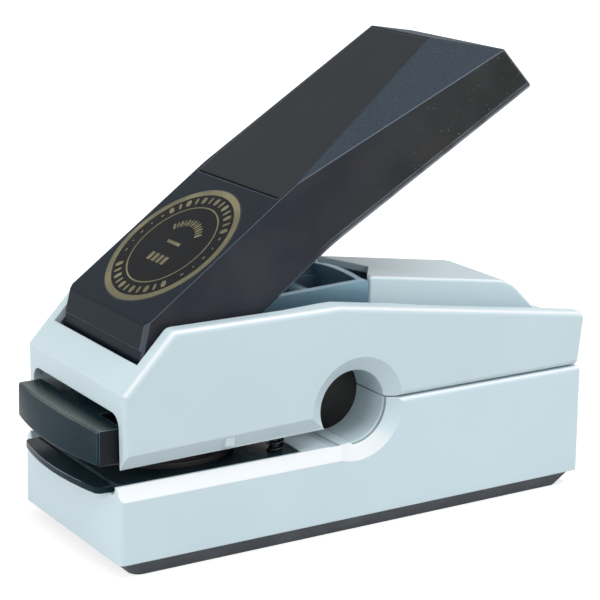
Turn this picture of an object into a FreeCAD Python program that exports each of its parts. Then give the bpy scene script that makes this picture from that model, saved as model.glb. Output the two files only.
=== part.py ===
import FreeCAD, Part
import math
import os

Vector = FreeCAD.Vector

# Seal embosser, millimetres. Everything is drawn in the body's own frame: x runs back from the
# nose plane, y is sideways from the middle plane, z is the height above the base's lower edge.
# Written parts are moved so that the origin is under the middle, on the floor.

# Casing
BODY_WIDTH = 57.0
BODY_LENGTH = 150.3
FOOT_HEIGHT = 4.4
FOOT_TOP_INSET = 0.8
FOOT_SIDE_TAPER = 1.8
FOOT_END_TAPER = 4.2
BASE_WALL = 2.2
DECK_HEIGHT = 20.6
SEAM_HEIGHT = 32.0
SEAM_GAP = 0.4
REAR_LEAN = 1.7
SHELL_SIDE_WALL = 3.3
SHELL_WALL = 2.2
NOSE_SETBACK = 1.2
CREASE_HEIGHT = 45.2
TOP_HEIGHT = 60.4
NOSE_SLOPE = 46.9
TOP_BEND = 65.75
REAR_SLOPE = 8.45
SHELL_EDGE_FRONT = 24.9
SHELL_EDGE_REAR = 26.0
MOUTH_CHAMFER = 3.0
MOUTH_FLARE = 4.3
CORNER_ROUND = 1.4
TOP_ROUND = 1.6

# Throat: the round end of the paper gap
THROAT_STATION = 72.0
THROAT_RADIUS = 10.3
LINER_WALL = 2.2
LINER_FIT = 0.1
LINER_END = 26.8

# Lever opening in the top of the casing
WELL_FLANGE = 4.4
WELL_NARROWING = 1.4
WELL_START = 7.2
REAR_SILL = 44.4
TRAY_TOP = 38.0
TRAY_THICK = 2.0
TRAY_FIT = 0.15

# Front slot for the die holders
SLOT_TOP = 39.4
SLOT_CORNER = 3.6

# Press frame
CHEEK_THICK = 2.0
CHEEK_CLEARANCE = 0.9
CHEEK_BOTTOM = 1.5
CHEEK_FRONT = 8.0
CHEEK_END_SETBACK = 26.3
ARM_UNDERSIDE = 36.4
ARM_REAR = 84.0
ARM_FRONT_RISE = 0.8
ARM_REAR_RISE = 1.9
POST_TOP = 45.5
ANVIL_THICK = 3.0
ANVIL_REAR = 60.0
TIE_RADIUS = 2.5
STRAP_THICK = 2.0

# Pivot, cam and ram
PIVOT_STATION = 19.0
PIVOT_HEIGHT = 48.0
PIVOT_RADIUS = 4.0
EYE_RADIUS = 7.0
RUNNING_FIT = 0.06
CAM_BASE_RADIUS = 7.85
CAM_START_LIFT = 7.5
CAM_HALF = 5.0
CLOSING_ANGLE = 31.0
CAM_GAP = 0.12
RAM_FRONT = 13.0
RAM_REAR = 51.0
RAM_PLATE = 2.6
POST_STATION = 42.5
POST_RADIUS = 2.5
POST_TOP_END = 58.0
BRIDGE_UNDERSIDE = 46.0
BRIDGE_THICK = 2.5
RIVET_RADIUS = 1.5
BRIDGE_RIVET_RISE = 5.5
BRIDGE_RIVET_AHEAD = 4.0
BRIDGE_RIVET_BEHIND = 5.5
SPRING_WIRE = 0.45
SPRING_TURNS = 4

# Die cartridge
DIE_STATION = 26.0
DIE_RADIUS = 20.6
DIE_FIT = 0.1
HOLDER_FIT = 0.1
LOWER_HOLDER_THICK = 2.4
LOWER_TAB_THICK = 1.7
LOWER_DIE_TOP = 21.9
DIE_GAP = 4.45
HOLDER_SIDE_FIT = 0.3
HOLDER_REAR = 55.8
UPPER_HOLDER_UNDERSIDE = 26.2
UPPER_HOLDER_TOP = 35.6
UPPER_PLATE_THICK = 4.6
TAB_REACH = 6.8
LOWER_TAB_REACH = 5.7
LOWER_TAB_CORNER = 3.0
TAB_CORNER = 3.9
TAB_LEAN = 2.1
TAB_EDGE = 0.5
CARTRIDGE_PIN_RADIUS = 1.5
CARTRIDGE_PIN_STATION = 51.0
CARTRIDGE_PIN_EDGE = 4.9
CARTRIDGE_WIRE = 0.35
SPRING_POCKET = 2.6
SPRING_POCKET_DEPTH = 5.5

# Lever: drawn level, with its top plane at zero, then tipped up about its front top edge
LEVER_TILT = 36.3
LEVER_EDGE_STATION = 10.7
LEVER_EDGE_RISE = 0.35
LEVER_SIDE_FIT = 1.8
LEVER_WALL = 2.2
LEVER_APEX = 54.0
PANEL_END = 113.2
FACET_RUN_IN = 8.05
CREASE_END = 127.0
CREASE_DROP = 14.3
TAIL_END = 128.8
TAIL_DEPTH = 28.9
SKIRT_DEPTH = 21.3
FACE_REACH = 8.0
FACE_DROP = 6.9
FACE_LEDGE = 0.62
FACE_STEP = 0.6
FACE_CHAMFER = 1.0
CREASE_ROUND = 0.9
LABEL_STATION = 24.4
LABEL_EDGE = 1.4
INLAY_THICK = 0.8
INLAY_FIT = 0.12
GRIP_START = 48.6
GRIP_EDGE = 1.3
CHANNEL_SIDE_GAP = 5.9
CHANNEL_THICK = 1.5
CHANNEL_DEPTH = 3.2
CHANNEL_SIDE = 12.0
CHANNEL_START = 8.0
CHANNEL_END = 92.0
LEVER_SCREW_STATIONS = (34.0, 60.0, 84.0)
CAM_RIVET_STATIONS = (12.5, 21.0)

# Rear cover over the frame's post
COVER_RISE = 2.7
COVER_FOOT_SETBACK = 4.6
COVER_CREST_ROUND = 13.0
COVER_SLOPE = 8.2
COVER_BACK_SLOPE = 43.7
COVER_NOTCH = 8.9
COVER_WALL = 2.0

# Rubber bumpers under the lever's tail
BUMPER_SETBACK = 20.3
BUMPER_RADIUS = 2.4
BUMPER_TAPER = 0.5
BUMPER_HEIGHT = 4.5

# Screws
SCREW_RADIUS = 1.5
SCREW_HEAD_RADIUS = 2.8
SCREW_HEAD = 1.6
BOSS_RADIUS = 3.4
BOSS_WALL_GAP = 5.4
BOSS_THROAT_GAP = 25.0
BOSS_END_GAP = 12.3
NOSE_SCREW = 14.0

HALF = BODY_WIDTH / 2
SLOT_HALF = HALF - SHELL_SIDE_WALL
WELL_HALF = HALF - WELL_FLANGE
LEVER_HALF = WELL_HALF - LEVER_SIDE_FIT
PANEL_END_HALF = LEVER_HALF - FACET_RUN_IN
CHANNEL_HALF = LEVER_HALF - CHANNEL_SIDE_GAP
CHEEK_INNER = CHANNEL_HALF - CHANNEL_THICK - CHEEK_CLEARANCE - CHEEK_THICK
CHEEK_OUTER = CHEEK_INNER + CHEEK_THICK
CHEEK_REAR = BODY_LENGTH - CHEEK_END_SETBACK
ANVIL_HALF = CHEEK_OUTER + 2
RAM_HALF = CHEEK_INNER - 0.3
POST_SPREAD = CHEEK_INNER - 5.5
COVER_HALF = CHEEK_OUTER - 0.25
COVER_FRONT = ARM_REAR + 0.6
COVER_FOOT = BODY_LENGTH - COVER_FOOT_SETBACK
HOLDER_HALF = SLOT_HALF - HOLDER_SIDE_FIT
LOWER_TAB_HALF = HOLDER_HALF - 3.1
UPPER_TAB_HALF = HOLDER_HALF - 1.0
CARTRIDGE_PIN_SPREAD = HOLDER_HALF - CARTRIDGE_PIN_EDGE
SIDE_SCREW = SLOT_HALF - BOSS_WALL_GAP
BOSS_STATIONS = (THROAT_STATION + BOSS_THROAT_GAP, BODY_LENGTH - BOSS_END_GAP)
FRONT_BOSS_STATIONS = (NOSE_SCREW, THROAT_STATION - 6)
RECESS_FLOOR = DECK_HEIGHT - 2.6
THROAT_HEIGHT = DECK_HEIGHT + THROAT_RADIUS
FRAME_THROAT_RADIUS = THROAT_RADIUS + LINER_WALL + 0.2
RAM_UNDERSIDE = UPPER_HOLDER_TOP + 0.12
RAM_TOP = PIVOT_HEIGHT - CAM_START_LIFT - CAM_GAP
UPPER_DIE_UNDERSIDE = LOWER_DIE_TOP + DIE_GAP
TILT = math.radians(LEVER_TILT)
LEVER_EDGE_HEIGHT = TOP_HEIGHT + LEVER_EDGE_RISE
ARM_TOP_FRONT = TOP_HEIGHT + ARM_FRONT_RISE
ARM_TOP_REAR = TOP_HEIGHT + ARM_REAR_RISE
COVER_TOP = TOP_HEIGHT + COVER_RISE


def loop(corners, place):
    """Closed wire through corners (a, b) or (a, b, radius), set in space by place(a, b)."""
    count = len(corners)
    flat = [Vector(corner[0], corner[1], 0) for corner in corners]
    arcs = []
    for index, corner in enumerate(corners):
        here = flat[index]
        radius = corner[2] if len(corner) > 2 else 0
        back = (flat[index - 1] - here).normalize()
        ahead = (flat[(index + 1) % count] - here).normalize()
        if radius == 0:
            arcs.append((here, None, here))
            continue
        half_angle = back.getAngle(ahead) / 2
        middle = (back + ahead).normalize()
        run = radius / math.tan(half_angle)
        centre = here + middle * (radius / math.sin(half_angle))
        arcs.append((here + back * run, centre - middle * radius, here + ahead * run))
    edges = []
    for index, (start, via, end) in enumerate(arcs):
        if via is not None:
            edges.append(Part.Arc(*[place(p.x, p.y) for p in (start, via, end)]).toShape())
        following = arcs[(index + 1) % count][0]
        if (following - end).Length > 1e-6:
            edges.append(Part.LineSegment(place(end.x, end.y), place(following.x, following.y)).toShape())
    return Part.Wire(edges)


def side_prism(corners, y_low, y_high):
    """Side view outline (x, z) drawn out sideways."""
    wire = loop(corners, lambda x, z: Vector(x, y_low, z))
    return Part.Face(wire).extrude(Vector(0, y_high - y_low, 0))


def plan_prism(corners, z_low, z_high):
    """Plan outline (x, y) drawn upwards."""
    wire = loop(corners, lambda x, y: Vector(x, y, z_low))
    return Part.Face(wire).extrude(Vector(0, 0, z_high - z_low))


def cross_prism(corners, x_low, x_high):
    """Cross-section (y, z) drawn backwards."""
    wire = loop(corners, lambda y, z: Vector(x_low, y, z))
    return Part.Face(wire).extrude(Vector(x_high - x_low, 0, 0))


def block(x_low, x_high, y_low, y_high, z_low, z_high):
    size = (x_high - x_low, y_high - y_low, z_high - z_low)
    return Part.makeBox(*size, Vector(x_low, y_low, z_low))


def across(station, height, radius, y_low, y_high):
    """Cylinder along y."""
    return Part.makeCylinder(radius, y_high - y_low, Vector(station, y_low, height), Vector(0, 1, 0))


def upright(station, y, radius, z_low, z_high):
    """Cylinder along z."""
    return Part.makeCylinder(radius, z_high - z_low, Vector(station, y, z_low))


def mirrored(shape):
    return shape.mirror(Vector(0, 0, 0), Vector(0, 1, 0))


def both_sides(shape):
    return shape.fuse(mirrored(shape))


def top_at(station):
    """Height of the casing's top surface."""
    return TOP_HEIGHT - max(0, station - TOP_BEND) * math.tan(math.radians(REAR_SLOPE))


def shell_edge_at(station):
    """Height of the upper shell's lower edge along the paper gap."""
    share = station / THROAT_STATION
    return SHELL_EDGE_FRONT + (SHELL_EDGE_REAR - SHELL_EDGE_FRONT) * share


# ---- casing ----

def throat_cut():
    """Round end of the paper gap with its flared rims."""
    tool = across(THROAT_STATION, THROAT_HEIGHT, THROAT_RADIUS, -HALF, HALF)
    spread = MOUTH_FLARE / MOUTH_CHAMFER
    flare = Part.makeCone(THROAT_RADIUS - spread, THROAT_RADIUS + MOUTH_FLARE + spread, MOUTH_CHAMFER + 2,
                          Vector(THROAT_STATION, HALF - MOUTH_CHAMFER - 1, THROAT_HEIGHT), Vector(0, 1, 0))
    return tool.fuse(both_sides(flare))


def boss_places():
    """Plan positions of the long screws that hold the casing together at the rear."""
    return [(station, side * SIDE_SCREW) for station in BOSS_STATIONS for side in (-1, 1)]


def front_boss_places():
    """Plan positions of the screws that hold the bottom plate at the front."""
    return [(station, side * SIDE_SCREW) for station in FRONT_BOSS_STATIONS for side in (-1, 1)]


def front_boss_top(station):
    """Underside of the recess or of the deck above a front boss."""
    return (RECESS_FLOOR if station < HOLDER_REAR else DECK_HEIGHT) - BASE_WALL


def ribbed_boss(station, low, high):
    """Screw boss on the +y side with a rib that ties it to the side wall."""
    post = upright(station, SIDE_SCREW, BOSS_RADIUS, low, high)
    rib = block(station - 0.8, station + 0.8, SIDE_SCREW, SLOT_HALF + 1, low, high - 0.5)
    return post.fuse(rib)


def rear_face(height):
    """Station of the casing's leaning rear wall."""
    return BODY_LENGTH - REAR_LEAN * (1 - min(1, (height - SEAM_HEIGHT) / (top_at(BODY_LENGTH) - SEAM_HEIGHT)))


def base_shell():
    rear = BODY_LENGTH
    outline = [(0, 0), (rear, 0), (rear - 0.6, SEAM_HEIGHT, CORNER_ROUND), (THROAT_STATION, SEAM_HEIGHT),
               (THROAT_STATION, DECK_HEIGHT), (0.2, DECK_HEIGHT)]
    body = side_prism(outline, -HALF, HALF)
    corners = [edge for edge in body.Edges if abs(edge.BoundBox.ZLength) > 10 and edge.BoundBox.YLength < 0.1
               and (edge.BoundBox.XMax < 1 or edge.BoundBox.XMin > rear - 2)]
    body = body.makeFillet(CORNER_ROUND, corners)
    inside = [(BASE_WALL, -1), (rear - BASE_WALL, -1), (rear - BASE_WALL - 0.6, SEAM_HEIGHT + 1),
              (THROAT_STATION, SEAM_HEIGHT + 1), (THROAT_STATION, DECK_HEIGHT - BASE_WALL),
              (HOLDER_REAR + 2 * BASE_WALL, DECK_HEIGHT - BASE_WALL),
              (HOLDER_REAR + 2 * BASE_WALL, RECESS_FLOOR - BASE_WALL), (BASE_WALL, RECESS_FLOOR - BASE_WALL)]
    body = body.cut(side_prism(inside, -SLOT_HALF - 0.6, SLOT_HALF + 0.6))
    body = body.cut(throat_cut())
    for side in (-1, 1):
        chamfer = cross_prism([(side * HALF, DECK_HEIGHT - 3.5), (side * (HALF - 2.6), DECK_HEIGHT),
                               (side * HALF, DECK_HEIGHT + 1)], -1, THROAT_STATION)
        body = body.cut(chamfer)
    recess = cross_prism([(-SLOT_HALF, RECESS_FLOOR, 2.2), (SLOT_HALF, RECESS_FLOOR, 2.2),
                          (SLOT_HALF, DECK_HEIGHT + 1), (-SLOT_HALF, DECK_HEIGHT + 1)], -1, HOLDER_REAR + 0.4)
    body = body.cut(recess)
    groove = THROAT_STATION - 7.2
    body = body.cut(side_prism([(groove, DECK_HEIGHT + 1), (groove + 0.4, DECK_HEIGHT - 1.3),
                                (groove + 3.4, DECK_HEIGHT - 0.5), (groove + 3.4, DECK_HEIGHT + 1)],
                               -HALF + 2.6, HALF - 2.6))
    anvil_hole = block(CHEEK_FRONT - 2, ANVIL_REAR + 0.2, -ANVIL_HALF - 0.2, ANVIL_HALF + 0.2,
                       RECESS_FLOOR - 4, RECESS_FLOOR + 0.5)
    body = body.cut(anvil_hole)
    for station in BOSS_STATIONS:
        post = ribbed_boss(station, CHEEK_BOTTOM, SEAM_HEIGHT)
        body = body.fuse(both_sides(post.cut(upright(station, SIDE_SCREW, SCREW_RADIUS + 0.1, 0, 60))))
    for station in FRONT_BOSS_STATIONS:
        top = front_boss_top(station)
        body = body.fuse(both_sides(ribbed_boss(station, CHEEK_BOTTOM, top)))
    for station, y in front_boss_places():
        body = body.cut(upright(station, y, SCREW_RADIUS, 0, front_boss_top(station) - 1))
    return body.removeSplitter()


def upper_shell():
    nose_run = (TOP_HEIGHT - CREASE_HEIGHT) / math.tan(math.radians(NOSE_SLOPE))
    seam = SEAM_HEIGHT + SEAM_GAP
    end_top = top_at(BODY_LENGTH)
    outline = [(NOSE_SETBACK + 0.4, SHELL_EDGE_FRONT), (NOSE_SETBACK, CREASE_HEIGHT),
               (NOSE_SETBACK + nose_run, TOP_HEIGHT, 3), (TOP_BEND, TOP_HEIGHT), (BODY_LENGTH, end_top, 2.4),
               (BODY_LENGTH - REAR_LEAN, seam, 1.3), (THROAT_STATION, seam), (THROAT_STATION, SHELL_EDGE_REAR)]
    body = side_prism(outline, -HALF, HALF)
    rounded = []
    for edge in body.Edges:
        box = edge.BoundBox
        top_edge = box.YLength < 0.1 and box.ZMin > CREASE_HEIGHT - 0.1
        upright_edge = box.YLength < 0.1 and box.ZLength > 10 and box.XLength < 3
        if top_edge or upright_edge:
            rounded.append(edge)
    body = body.makeFillet(TOP_ROUND, rounded)
    wall = SHELL_WALL
    inside = [(NOSE_SETBACK + 0.4 + wall, 20), (NOSE_SETBACK + wall, CREASE_HEIGHT - 0.9),
              (NOSE_SETBACK + nose_run + 0.9, TOP_HEIGHT - wall), (TOP_BEND - 0.2, TOP_HEIGHT - wall),
              (BODY_LENGTH - wall, top_at(BODY_LENGTH - wall) - wall), (BODY_LENGTH - REAR_LEAN - wall, 20)]
    side = HALF - SHELL_SIDE_WALL
    body = body.cut(side_prism(inside, -side, side))
    body = body.cut(throat_cut())
    narrow = WELL_HALF - WELL_NARROWING
    flange = [(WELL_START, WELL_HALF), (THROAT_STATION - 22, WELL_HALF), (THROAT_STATION - 10, narrow),
              (COVER_FRONT + 1, narrow), (COVER_FRONT + 12, WELL_HALF), (BODY_LENGTH + 1, WELL_HALF)]
    opening = plan_prism(flange + [(x, -y) for x, y in reversed(flange)], REAR_SILL, TOP_HEIGHT + 1)
    body = body.cut(opening)
    slot = cross_prism([(-SLOT_HALF, 0), (SLOT_HALF, 0), (SLOT_HALF, SLOT_TOP, SLOT_CORNER),
                        (-SLOT_HALF, SLOT_TOP, SLOT_CORNER)], -1, NOSE_SETBACK + 2 * wall)
    body = body.cut(slot)
    body = body.cut(gap_chamfers())
    body = body.fuse(both_sides(gap_web()))
    for station in BOSS_STATIONS:
        body = body.fuse(both_sides(ribbed_boss(station, SEAM_HEIGHT, TRAY_TOP - TRAY_THICK)))
    for station, y in boss_places():
        body = body.cut(upright(station, y, SCREW_RADIUS, 0, TRAY_TOP))
    for station in (CHEEK_FRONT + 1, HOLDER_REAR):
        rib = block(station, station + 1.6, CHEEK_OUTER + 0.05, side + 1, ARM_UNDERSIDE + 0.8, SLOT_TOP + 3)
        body = body.fuse(both_sides(rib))
    return body.removeSplitter()


def gap_chamfers():
    """Sloping bands along the upper shell's lower side edges."""
    front = SHELL_EDGE_FRONT
    tools = []
    for side in (-1, 1):
        def band(station, lift):
            low = shell_edge_at(station) + lift
            points = [(side * (HALF - MOUTH_CHAMFER), low), (side * (HALF + 0.01), low + MOUTH_FLARE),
                      (side * (HALF + 0.01), low - 3), (side * (HALF - MOUTH_CHAMFER), low - 3)]
            return Part.makePolygon([Vector(station, y, z) for y, z in points + points[:1]])
        tools.append(Part.makeLoft([band(-1, 0), band(THROAT_STATION - 4, 0.6)], True, True))
    return tools[0].fuse(tools[1])


def gap_web():
    """Small upright web across the chamfer band, on the right-hand side of the paper gap."""
    station = 31.0
    low = shell_edge_at(station)
    section = [(HALF - MOUTH_CHAMFER - 0.2, low + 0.1), (HALF - 0.4, low + MOUTH_FLARE + 0.2),
               (HALF - 0.5, low + 1.6)]
    return cross_prism(section, station, station + 2.6)


def rear_cover():
    """Hood over the rear of the press frame, with a V-shaped notch in the front of its top."""
    fall = math.tan(math.radians(COVER_SLOPE))
    back = math.tan(math.radians(COVER_BACK_SLOPE))
    station = (REAR_SILL + COVER_FOOT * back - COVER_TOP - COVER_FRONT * fall) / (back - fall)
    crest = COVER_TOP - (station - COVER_FRONT) * fall
    outline = [(COVER_FRONT, POST_TOP + 0.1), (COVER_FRONT, COVER_TOP, 1.0), (station, crest, COVER_CREST_ROUND),
               (COVER_FOOT, REAR_SILL), (COVER_FOOT, TRAY_TOP), (CHEEK_REAR + 0.6, TRAY_TOP),
               (CHEEK_REAR + 0.6, POST_TOP + 0.1)]
    body = side_prism(outline, -COVER_HALF, COVER_HALF)
    top_edges = [edge for edge in body.Edges if edge.BoundBox.YLength < 0.1 and edge.BoundBox.ZMin > REAR_SILL - 1
                 and edge.BoundBox.XLength > 2 and edge.BoundBox.ZMax > POST_TOP + 2]
    body = body.makeFillet(0.9, top_edges)
    wall = COVER_WALL
    inner = [(COVER_FRONT + wall, POST_TOP - 1), (COVER_FRONT + wall, COVER_TOP - wall - 0.3),
             (station - 0.6, crest - wall, COVER_CREST_ROUND - wall), (COVER_FOOT - 2.6, REAR_SILL),
             (COVER_FOOT - 2.6, TRAY_TOP - 1), (CHEEK_REAR + 2, TRAY_TOP - 1), (CHEEK_REAR + 2, POST_TOP - 1)]
    body = body.cut(side_prism(inner, wall - COVER_HALF, COVER_HALF - wall))
    tip = COVER_FRONT + COVER_NOTCH
    notch = plan_prism([(COVER_FRONT - 1, -COVER_HALF), (tip, 0, 1), (COVER_FRONT - 1, COVER_HALF)],
                       COVER_TOP - 6, COVER_TOP + 1)
    body = body.cut(notch)
    return body.removeSplitter()


def bottom_plate():
    front, rear = BASE_WALL + 0.3, BODY_LENGTH - BASE_WALL - 0.3
    half = SLOT_HALF + 0.3
    plate = plan_prism([(front, -half, 2), (rear, -half, 2), (rear, half, 2), (front, half, 2)], 0, CHEEK_BOTTOM)
    for station, y in boss_places() + front_boss_places():
        plate = plate.cut(upright(station, y, SCREW_RADIUS + 0.2, -1, 5))
    return plate


def rubber_foot():
    def rim(inset_x, inset_y, height):
        low_x, high_x, half = inset_x, BODY_LENGTH - inset_x, HALF - inset_y
        corners = [(low_x, -half, 3), (high_x, -half, 3), (high_x, half, 3), (low_x, half, 3)]
        return loop(corners, lambda x, y: Vector(x, y, height))
    pad = Part.makeLoft([rim(FOOT_TOP_INSET, FOOT_TOP_INSET, 0),
                         rim(FOOT_TOP_INSET + FOOT_END_TAPER, FOOT_TOP_INSET + FOOT_SIDE_TAPER, -FOOT_HEIGHT)],
                        True, True)
    for station, y in boss_places() + front_boss_places():
        pad = pad.cut(upright(station, y, SCREW_HEAD_RADIUS + 1.0, -FOOT_HEIGHT - 1, 1))
    return pad


def throat_sleeve(y_low, y_high):
    """C-shaped length of the throat's lining, open towards the paper gap."""
    ring = across(THROAT_STATION, THROAT_HEIGHT, THROAT_RADIUS + LINER_WALL, y_low, y_high)
    ring = ring.cut(across(THROAT_STATION, THROAT_HEIGHT, THROAT_RADIUS, y_low, y_high))
    reach = 2 * THROAT_RADIUS
    gap = side_prism([(THROAT_STATION + 0.2, DECK_HEIGHT - reach), (THROAT_STATION + 0.2, THROAT_HEIGHT),
                      (THROAT_STATION, THROAT_HEIGHT), (THROAT_STATION - reach, LINER_END),
                      (THROAT_STATION - reach, DECK_HEIGHT - reach)], y_low, y_high)
    return ring.cut(gap)


def throat_liner():
    """Black sleeve between the cheeks of the press frame."""
    half = CHEEK_INNER - LINER_FIT
    return throat_sleeve(-half, half)


def throat_collar():
    """Casing-coloured collar from the side wall in to the cheek, parted along the casing's seam."""
    collar = throat_sleeve(CHEEK_INNER + LINER_FIT, SLOT_HALF - LINER_FIT)
    rear = THROAT_STATION + 2 * THROAT_RADIUS
    return collar.cut(block(THROAT_STATION, rear, 0, HALF, SEAM_HEIGHT, SEAM_HEIGHT + SEAM_GAP))


def well_tray():
    """Floor of the lever's well, slotted for the press frame and held by the long screws."""
    front, rear = THROAT_STATION + 16, BODY_LENGTH - REAR_LEAN - SHELL_WALL - TRAY_FIT
    half = WELL_HALF - WELL_NARROWING - TRAY_FIT
    slot = CHEEK_OUTER + 2 * TRAY_FIT
    end = CHEEK_REAR + 2 * TRAY_FIT
    outline = [(front, -half, 1), (rear, -half, 1), (rear, half, 1), (front, half, 1), (front, slot), (end, slot),
               (end, -slot), (front, -slot)]
    tray = plan_prism(outline, TRAY_TOP - TRAY_THICK, TRAY_TOP)
    for station, y in boss_places():
        tray = tray.cut(upright(station, y, SCREW_RADIUS, 0, TRAY_TOP - 0.6))
    return tray


# ---- press frame ----

def tie_places():
    rear = CHEEK_REAR - 8
    return [(CHEEK_FRONT + 8, 8.0), (THROAT_STATION - 2, 8.0), (rear, 8.0), (rear, 31.0), (ARM_REAR - 8, 54.0)]


def frame_cheek():
    """C-shaped plate that joins the pivot above the dies to the anvil below them."""
    outer = [(CHEEK_FRONT, CHEEK_BOTTOM, 2), (CHEEK_REAR, CHEEK_BOTTOM, 2), (CHEEK_REAR, POST_TOP, 4),
             (ARM_REAR, POST_TOP, 0.4), (ARM_REAR, ARM_TOP_REAR, 1), (ARM_REAR - 28, ARM_TOP_FRONT, 3),
             (PIVOT_STATION + 11, ARM_TOP_FRONT - 2.6, 10), (PIVOT_STATION + 5, PIVOT_HEIGHT + EYE_RADIUS, 6),
             (PIVOT_STATION - EYE_RADIUS, PIVOT_HEIGHT + EYE_RADIUS, EYE_RADIUS - 0.1),
             (PIVOT_STATION - EYE_RADIUS, ARM_UNDERSIDE, 3), (CHEEK_FRONT, ARM_UNDERSIDE - 4)]
    inner = CHEEK_INNER
    plate = side_prism(outer, inner, inner + CHEEK_THICK)
    anvil_seat = RECESS_FLOOR - ANVIL_THICK
    plate = plate.cut(block(0, THROAT_STATION, 0, HALF, anvil_seat, ARM_UNDERSIDE))
    plate = plate.cut(across(THROAT_STATION, THROAT_HEIGHT, FRAME_THROAT_RADIUS, 0, HALF))
    plate = plate.cut(across(PIVOT_STATION, PIVOT_HEIGHT, PIVOT_RADIUS, 0, HALF))
    for station, height in tie_places():
        plate = plate.cut(across(station, height, TIE_RADIUS, 0, HALF))
    for station, height in rivet_places():
        plate = plate.cut(across(station, height, RIVET_RADIUS, 0, HALF))
    middle = (THROAT_STATION + FRAME_THROAT_RADIUS + CHEEK_REAR) / 2
    return plate.cut(across(middle, 19.0, 7.5, 0, HALF)).removeSplitter()


def rivet_places():
    """Side-view places of the rivets that hold the bridge between the cheeks."""
    height = BRIDGE_UNDERSIDE + BRIDGE_RIVET_RISE
    return [(POST_STATION - BRIDGE_RIVET_AHEAD, height), (POST_STATION + BRIDGE_RIVET_BEHIND, height)]


def frame_strap():
    """Bent plate that closes the upper arm behind the pivot, with a gently arched top."""
    top = ARM_TOP_REAR - 0.2
    half = CHEEK_INNER
    arch = Part.Arc(Vector(ARM_REAR - STRAP_THICK, half, top - 0.4), Vector(ARM_REAR - STRAP_THICK, 0, top + 0.5),
                    Vector(ARM_REAR - STRAP_THICK, -half, top - 0.4)).toShape()
    low = POST_TOP + 2
    lines = Part.makePolygon([Vector(ARM_REAR - STRAP_THICK, -half, top - 0.4),
                              Vector(ARM_REAR - STRAP_THICK, -half, low), Vector(ARM_REAR - STRAP_THICK, half, low),
                              Vector(ARM_REAR - STRAP_THICK, half, top - 0.4)])
    wall = Part.Face(Part.Wire([arch] + lines.Edges)).extrude(Vector(STRAP_THICK, 0, 0))
    station, height = tie_places()[-1]
    wing = block(station - 6, ARM_REAR - STRAP_THICK, half - 1.6, half, height - 4.5, height + 4.5)
    strap = wall.fuse(both_sides(wing)).cut(across(station, height, TIE_RADIUS, -HALF, HALF))
    return strap.removeSplitter()


def anvil_plate():
    low = RECESS_FLOOR - ANVIL_THICK
    plate = plan_prism([(CHEEK_FRONT - 1.5, -ANVIL_HALF, 3), (ANVIL_REAR, -ANVIL_HALF, 1),
                        (ANVIL_REAR, ANVIL_HALF, 1), (CHEEK_FRONT - 1.5, ANVIL_HALF, 3)], low, RECESS_FLOOR)
    key = block(CHEEK_FRONT + 4, ANVIL_REAR - 4, -CHEEK_INNER, CHEEK_INNER, low - 3, low)
    return plate.fuse(key).removeSplitter()


def tie_pins():
    reach = CHEEK_OUTER + 0.6
    return Part.makeCompound([across(*place, TIE_RADIUS, -reach, reach) for place in tie_places()])


def ram_bridge():
    """Cross plate that guides the two ram posts and seats their springs."""
    low, high = BRIDGE_UNDERSIDE, BRIDGE_UNDERSIDE + BRIDGE_THICK
    half = CHEEK_INNER
    section = [(-half, low), (half, low), (half, low + 9, 1), (half - 1.5, low + 9), (half - 1.5, high),
               (1.5 - half, high), (1.5 - half, low + 9), (-half, low + 9, 1)]
    bridge = cross_prism(section, POST_STATION - 7, POST_STATION + 8.5)
    for side in (-1, 1):
        bore = upright(POST_STATION, side * POST_SPREAD, POST_RADIUS + RUNNING_FIT, low - 1, high + 1)
        bridge = bridge.cut(bore)
    for station, height in rivet_places():
        bridge = bridge.cut(across(station, height, RIVET_RADIUS, -HALF, HALF))
    return bridge


def bridge_rivets():
    rivets = []
    inner = CHEEK_INNER - 1.5
    outer = CHEEK_OUTER
    for station, height in rivet_places():
        body = across(station, height, RIVET_RADIUS, inner, outer)
        tail = across(station, height, 1.9, inner - 0.5, inner)
        rivets += [body.fuse(tail), mirrored(body.fuse(tail))]
    return Part.makeCompound(rivets)


def pivot_pin():
    reach = CHANNEL_HALF + 1.9
    pin = across(PIVOT_STATION, PIVOT_HEIGHT, PIVOT_RADIUS, -reach, reach)
    groove = across(PIVOT_STATION, PIVOT_HEIGHT, PIVOT_RADIUS + 1, CHANNEL_HALF + 0.3, CHANNEL_HALF + 1.1)
    groove = groove.cut(across(PIVOT_STATION, PIVOT_HEIGHT, PIVOT_RADIUS - 0.6, 0, HALF))
    return pin.cut(both_sides(groove)).makeChamfer(0.5, end_rims(pin.cut(both_sides(groove)), reach))


def end_rims(shape, reach):
    """Circular edges on a cross pin's two end faces."""
    return [edge for edge in shape.Edges if abs(abs(edge.BoundBox.YMin) - reach) < 0.01
            and edge.BoundBox.YLength < 0.01]


def pivot_clips():
    ring = across(PIVOT_STATION, PIVOT_HEIGHT, PIVOT_RADIUS + 2.4, CHANNEL_HALF + 0.35, CHANNEL_HALF + 1.05)
    ring = ring.cut(across(PIVOT_STATION, PIVOT_HEIGHT, PIVOT_RADIUS - 0.6, 0, HALF))
    mouth = block(PIVOT_STATION - 2.4, PIVOT_STATION + 2.4, 0, HALF, PIVOT_HEIGHT - 10, PIVOT_HEIGHT)
    ring = ring.cut(mouth)
    return Part.makeCompound([ring, mirrored(ring)])


# ---- ram ----

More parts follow.
